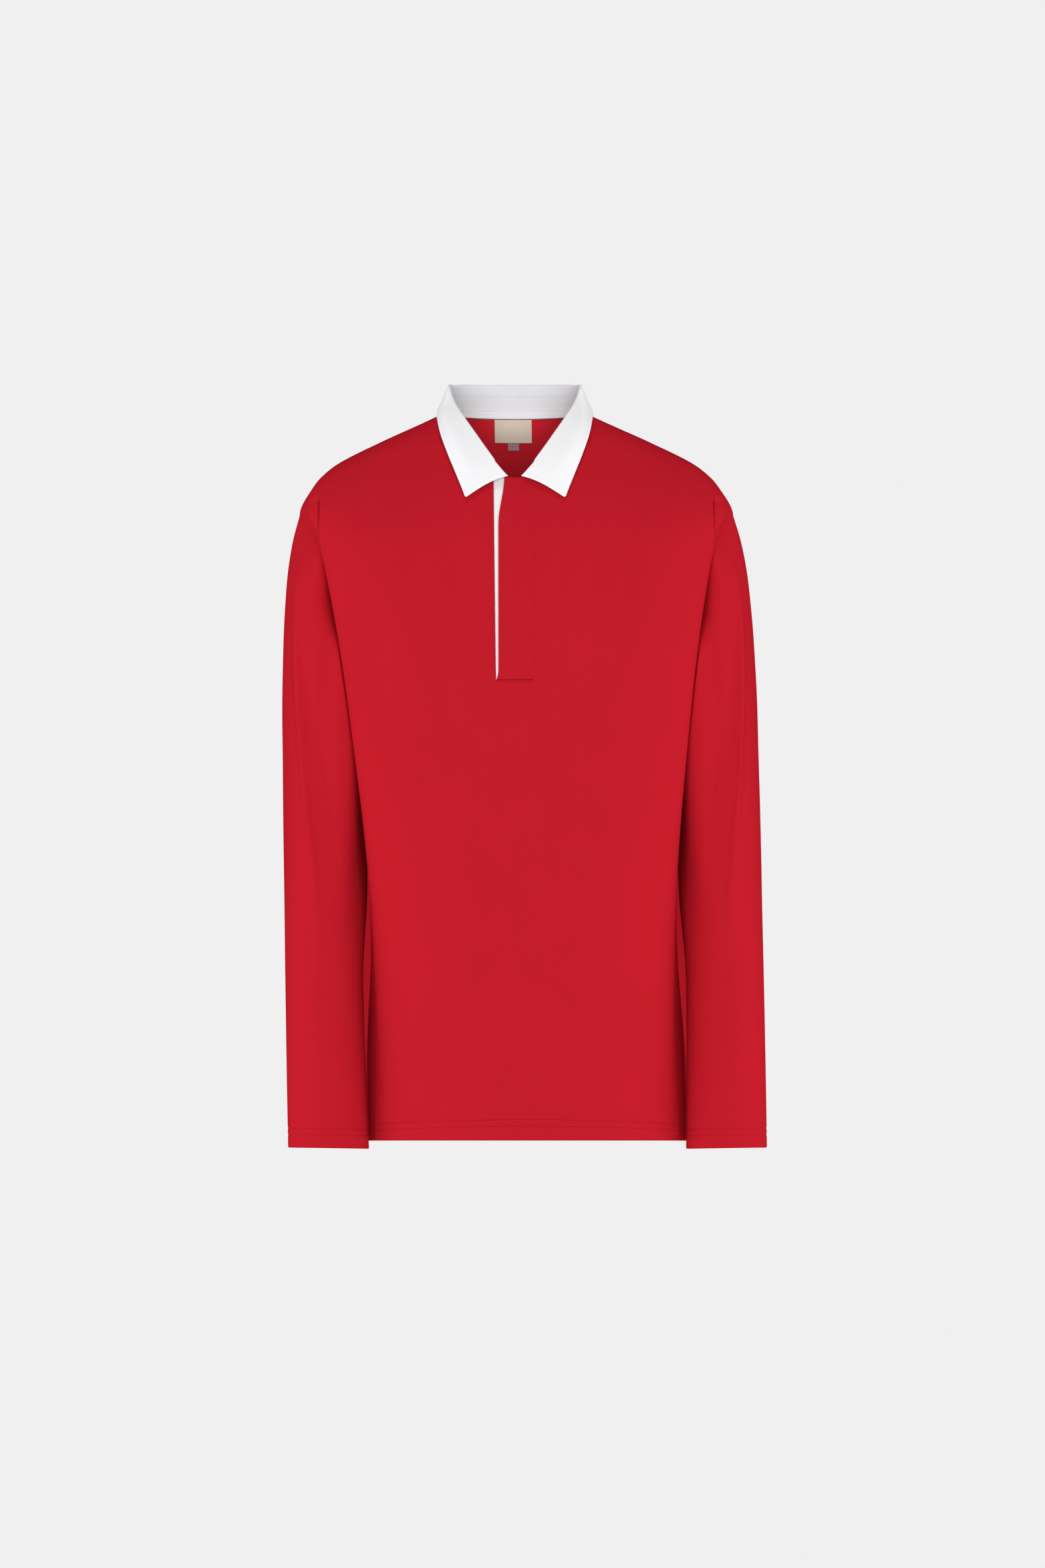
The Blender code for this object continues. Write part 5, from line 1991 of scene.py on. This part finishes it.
@dataclass
class Labels:
    """Two bare woven labels that hang from the back neck seam, inside the back."""

    beige: Material
    grey: Material
    middle_x: float = -0.0018
    neck_size: tuple[float, float, float] = (0.0384, 0.0006, 0.0236)
    tab_size: tuple[float, float, float] = (0.0115, 0.0016, 0.0311)
    neck_slant: float = 0.10
    tab_slant: float = 0.05
    pleats: tuple[Pair, ...] = (
        (-0.0048, 0.0011), (0.0032, 0.0013), (0.0090, 0.0010),
    )                              # place and width of each small pleat below the seam
    pleat_depth: float = 0.0005
    pleat_top: float = 0.002
    pleat_end: float = 0.009
    pleat_fade: float = 0.006
    pleat_slant: float = 0.25
    tab_wave: Wave = Wave(0.0003, 300.0, math.pi / 2, 0.024, 0.006)
    neck_wave: Wave = Wave(0.0005, 110.0, 0.6, 0.010, 0.020)
    edge_wave: Wave = Wave(0.0004, 70.0, 0.0, 0.020, 0.010)

    def hanging(
        self, size: tuple[float, float, float], base: float, slant: float, columns: int, rows: int
    ) -> Array:
        """A label's face towards the wearer's back, from its lower edge up.

        Args:
            size: Its width, and the drops of its top and lower edge.
            base: How far its top lies off the cloth.
            slant: How fast it swings away from there.
            columns: Steps across.
            rows: Steps down.

        Returns:
            The points.
        """
        width, top, bottom = size
        drops = (bottom + (top - bottom) * rising((0.06, 3), (0.94, rows), (1.0, 3)))[:, None]
        spread = rising((0.05, 3), (0.95, columns), (1.0, 3))[None, :] - 0.5
        x = self.middle_x + width * spread + 0 * drops
        points, normals = FIGURE.place(Panel.BACK, x, -drops + 0 * x)
        points[..., 1] -= (PANEL_WALL + base) / normals[..., 1] + slant * drops
        return points

    def build(self) -> None:
        """Build and dress both labels."""
        tab = self.hanging(self.tab_size, SEAM_GAP, self.tab_slant, 16, 40)
        tab[..., 1] -= self.tab_wave.lift(tab[..., 0] - self.middle_x, -tab[..., 2])
        neck = self.hanging(
            self.neck_size, 2 * SEAM_GAP + LABEL_WALL, self.neck_slant, 44, 30
        )
        side, fall = neck[..., 0] - self.middle_x, -neck[..., 2]
        near_top = smooth((self.pleat_end - fall) / self.pleat_fade)
        for spot, width in self.pleats:
            away = side - spot - (fall - self.pleat_top) * self.pleat_slant
            neck[..., 1] += dip(away, self.pleat_depth, width) * near_top
        neck[..., 1] -= self.neck_wave.lift(side, fall)
        neck[..., 2] -= self.edge_wave.lift(side, fall)
        for name, points, finish, node, slot, size in (
            ("neck_label_cloth", neck, self.beige, "neck_label", "beige_label", self.neck_size),
            ("size_label_cloth", tab, self.grey, "size_label", "grey_label", self.tab_size),
        ):
            label = cloth_piece(name, FIGURE.hang(points), finish, LABEL_WALL)
            dress(label, node)


# ---- studio
@dataclass
class Studio:
    """Camera, lights, backdrop light and floor."""

    floor: Material
    camera_spot: Spot = (0.008, -4.2, -0.377)
    frame_height: float = 1.6
    sensor: float = 36.0
    backdrop: float = 0.871
    ambient: float = 0.27
    floor_z: float = -1.45
    floor_radius: float = 1.2
    lights: tuple[tuple[str, Spot, Pair, float], ...] = (
        ("front_light", (0.0, -3.4, -0.5), (2.6, 2.2), 16.2),
        ("high_light", (0.0, -1.6, 2.3), (1.6, 1.2), 7.5),
        ("left_light", (2.6, 0.0, -0.40), (1.2, 2.0), 15.0),
        ("right_light", (-2.6, 0.0, -0.40), (1.2, 2.0), 15.0),
        ("back_light", (0.0, 3.4, -0.1), (2.4, 2.0), 7.0),
    )

    def build(self) -> None:
        """Set up the studio."""
        scene = bpy.context.scene
        scene.view_settings.view_transform = "Standard"
        camera = bpy.data.objects.new("camera", bpy.data.cameras.new("camera"))
        camera.location = self.camera_spot
        camera.rotation_euler = (math.radians(90), 0, 0)
        camera.data.sensor_width = self.sensor
        camera.data.lens = self.sensor * -self.camera_spot[1] / self.frame_height
        camera.data.clip_end = 50.0
        scene.collection.objects.link(camera)
        scene.camera = camera
        for light in self.lights:
            self.softbox(*light)
        self.build_world()
        self.build_floor()
        log.info("studio: ready")

    def softbox(self, name: str, spot: Spot, size: Pair, power: float) -> None:
        """A soft rectangular light aimed at the middle of the shirt.

        Args:
            name: The light's name.
            spot: Where it stands.
            size: Its width and height.
            power: Its power, for each square metre of it.
        """
        light = bpy.data.lights.new(name, "AREA")
        light.shape = "RECTANGLE"
        light.size, light.size_y = size
        light.energy = power * size[0] * size[1]
        box = bpy.data.objects.new(name, light)
        box.location = spot
        aim = Vector((0.0, 0.0, self.camera_spot[2])) - Vector(spot)
        box.rotation_euler = aim.to_track_quat("-Z", "Y").to_euler()
        box.visible_camera = False
        bpy.context.scene.collection.objects.link(box)

    def build_world(self) -> None:
        """A plain pale backdrop, and a dimmer even light from all round."""
        world = bpy.data.worlds.new("studio")
        bpy.context.scene.world = world
        world.use_nodes = True
        tree = world.node_tree
        tree.nodes.clear()
        mix = tree.nodes.new("ShaderNodeMixShader")
        for strength, socket in ((self.ambient, 1), (self.backdrop, 2)):
            glow = tree.nodes.new("ShaderNodeBackground")
            glow.inputs["Color"].default_value = (1.0, 1.0, 1.0, 1.0)
            glow.inputs["Strength"].default_value = strength
            tree.links.new(glow.outputs[0], mix.inputs[socket])
        path = tree.nodes.new("ShaderNodeLightPath")
        out = tree.nodes.new("ShaderNodeOutputWorld")
        tree.links.new(path.outputs["Is Camera Ray"], mix.inputs[0])
        tree.links.new(mix.outputs[0], out.inputs["Surface"])

    def build_floor(self) -> None:
        """A round pale floor below the shirt."""
        mesh = bmesh.new()
        place = Matrix.Translation((0.0, 0.0, self.floor_z))
        bmesh.ops.create_circle(
            mesh, cap_ends=True, segments=96, radius=self.floor_radius, matrix=place
        )
        linked("floor", mesh, self.floor)


# ---- the shirt's own folds
CHEST_FOLDS = (
    Fold((-0.150, -0.135), (-0.110, -0.215), (-0.080, -0.390), 0.0018, 0.020, 0.2),
    Fold((-0.178, -0.170), (-0.145, -0.250), (-0.125, -0.360), -0.0012, 0.016),
    Fold((0.148, -0.150), (0.118, -0.220), (0.083, -0.370), 0.0017, 0.019, -0.2),
    Fold((0.172, -0.180), (0.140, -0.260), (0.122, -0.350), -0.0011, 0.016),
    Fold((0.052, -0.150), (0.048, -0.205), (0.040, -0.290), 0.0012, 0.017),
    Fold((-0.060, -0.110), (-0.052, -0.160), (-0.048, -0.225), -0.0011, 0.018),
    Fold((0.072, -0.105), (0.078, -0.150), (0.070, -0.215), -0.0011, 0.018),
    Fold((-0.045, -0.300), (-0.040, -0.420), (-0.052, -0.560), 0.0010, 0.024),
    Fold((0.030, -0.400), (0.010, -0.500), (0.015, -0.610), 0.0011, 0.026),
    Fold((-0.120, -0.560), (-0.105, -0.620), (-0.080, -0.700), -0.0010, 0.022),
    Fold((0.118, -0.545), (0.100, -0.620), (0.060, -0.705), -0.0011, 0.024),
    Fold((-0.132, -0.640), (-0.115, -0.690), (-0.120, -0.735), 0.0009, 0.016),
    Fold((0.085, -0.430), (0.092, -0.520), (0.110, -0.600), 0.0009, 0.020),
    Fold((-0.095, -0.430), (-0.110, -0.500), (-0.128, -0.560), 0.0009, 0.018),
)
BACK_FOLDS = (
    Fold((-0.160, -0.120), (-0.110, -0.190), (-0.070, -0.330), 0.0019, 0.022, 0.2),
    Fold((0.155, -0.130), (0.115, -0.200), (0.078, -0.350), 0.0018, 0.021, -0.2),
    Fold((0.010, -0.110), (0.004, -0.260), (0.012, -0.450), -0.0013, 0.030),
    Fold((-0.060, -0.260), (-0.050, -0.420), (-0.058, -0.620), 0.0016, 0.022),
    Fold((0.072, -0.300), (0.058, -0.430), (0.066, -0.640), 0.0015, 0.024),
    Fold((-0.120, -0.380), (-0.112, -0.500), (-0.125, -0.680), -0.0013, 0.020),
    Fold((0.128, -0.400), (0.118, -0.520), (0.130, -0.700), -0.0012, 0.021),
    Fold((-0.015, -0.470), (0.006, -0.580), (-0.004, -0.720), 0.0013, 0.020),
    Fold((-0.180, -0.330), (-0.150, -0.360), (-0.110, -0.350), 0.0010, 0.012),
    Fold((0.185, -0.345), (0.150, -0.380), (0.100, -0.372), 0.0010, 0.013),
)
OVERLAP_FOLDS = (
    Fold((0.002, -0.082), (0.008, -0.088), (0.019, -0.086), 0.0006, 0.0035, 0.2),
    Fold((-0.006, -0.098), (0.004, -0.101), (0.015, -0.112), -0.0005, 0.0040),
    Fold((-0.010, -0.133), (0.002, -0.140), (0.012, -0.152), 0.0004, 0.0060),
    Fold((0.010, -0.225), (0.004, -0.240), (0.003, -0.262), 0.0003, 0.0040),
    Fold((-0.006, -0.232), (-0.005, -0.246), (-0.007, -0.262), -0.0003, 0.0035),
)
SLEEVE_FOLDS = (
    Fold((0.036, -0.090), (0.087, -0.330), (0.071, -0.560), 0.0044, 0.0060, 0.45),
    Fold((0.062, -0.170), (0.105, -0.350), (0.096, -0.515), -0.0022, 0.012),
    Fold((0.100, -0.320), (0.105, -0.400), (0.114, -0.490), -0.0008, 0.0028),
    Fold((0.004, -0.280), (0.012, -0.400), (0.020, -0.500), -0.0009, 0.013),
    Fold((0.060, -0.520), (0.050, -0.600), (0.044, -0.700), 0.0009, 0.015),
    Fold((-0.040, -0.200), (-0.030, -0.330), (-0.042, -0.500), 0.0018, 0.014),
    Fold((-0.072, -0.330), (-0.058, -0.380), (-0.030, -0.400), 0.0012, 0.009),
    Fold((-0.078, -0.385), (-0.060, -0.430), (-0.028, -0.440), -0.0010, 0.009),
    Fold((-0.020, -0.480), (-0.026, -0.590), (-0.016, -0.690), -0.0009, 0.013),
)

RED_JERSEY = Jersey("red_jersey_knit", (0.500, 0.0115, 0.0225), (0.430, 0.0095, 0.0185))
# Painted light: a much lighter copy of the red jersey for the inner faces of the front and back,
# standing in for light that shines through the thin cloth.
RED_PAINTED_LIGHT = Jersey("red_jersey_painted_light", (0.800, 0.0260, 0.0420), (0.700, 0.0200, 0.0350))
WHITE_JERSEY = Jersey(
    "white_jersey_knit", (0.90, 0.90, 0.91), (0.82, 0.82, 0.84),
    mottle=0.35, relief=0.00004, gloss=0.1,
)
# Painted shade: a darker copy of the white jersey for the band's inner face and the inner side of
# the leaf's roll, where shade falls inside the neck.
WHITE_PAINTED_SHADE = Jersey(
    "white_jersey_painted_shade", (0.80, 0.80, 0.825), (0.73, 0.73, 0.76),
    mottle=0.35, relief=0.00004, gloss=0.1,
)
NECK_TAPE = TwillTape("white_neck_tape", (0.95, 0.95, 0.96), (0.88, 0.88, 0.90))
BEIGE_LABEL = WovenLabel("beige_woven_label", (0.92, 0.81, 0.67), (0.76, 0.66, 0.52))
GREY_LABEL = WovenLabel("grey_woven_label", (0.58, 0.36, 0.38), (0.40, 0.25, 0.27))
RED_THREAD = Thread("red_thread", (0.26, 0.005, 0.009), (0.18, 0.003, 0.006))
WHITE_THREAD = Thread("white_thread", (0.90, 0.90, 0.92), (0.74, 0.74, 0.78))


def main() -> None:
    """Build and dress the shirt, piece by piece."""
    logging.basicConfig(level=logging.INFO, format="%(name)s: %(message)s")
    red = Cloth(RED_JERSEY.material(), RED_PAINTED_LIGHT.material(), RED_THREAD.material())
    white = Cloth(WHITE_JERSEY.material(), WHITE_PAINTED_SHADE.material(), WHITE_THREAD.material())
    Studio(floor=StudioFloor().material()).build()
    Body(
        red=red, front_folds=CHEST_FOLDS, back_folds=BACK_FOLDS, shoulder_crease=Crease()
    ).build()
    Sleeves(red=red, folds=SLEEVE_FOLDS).build()
    Collar(white=white, tape=NECK_TAPE.material()).build()
    Placket(
        red=red, white=white, front_folds=CHEST_FOLDS, overlap_folds=OVERLAP_FOLDS
    ).build()
    Labels(beige=BEIGE_LABEL.material(), grey=GREY_LABEL.material()).build()


if __name__ == "__main__":
    main()
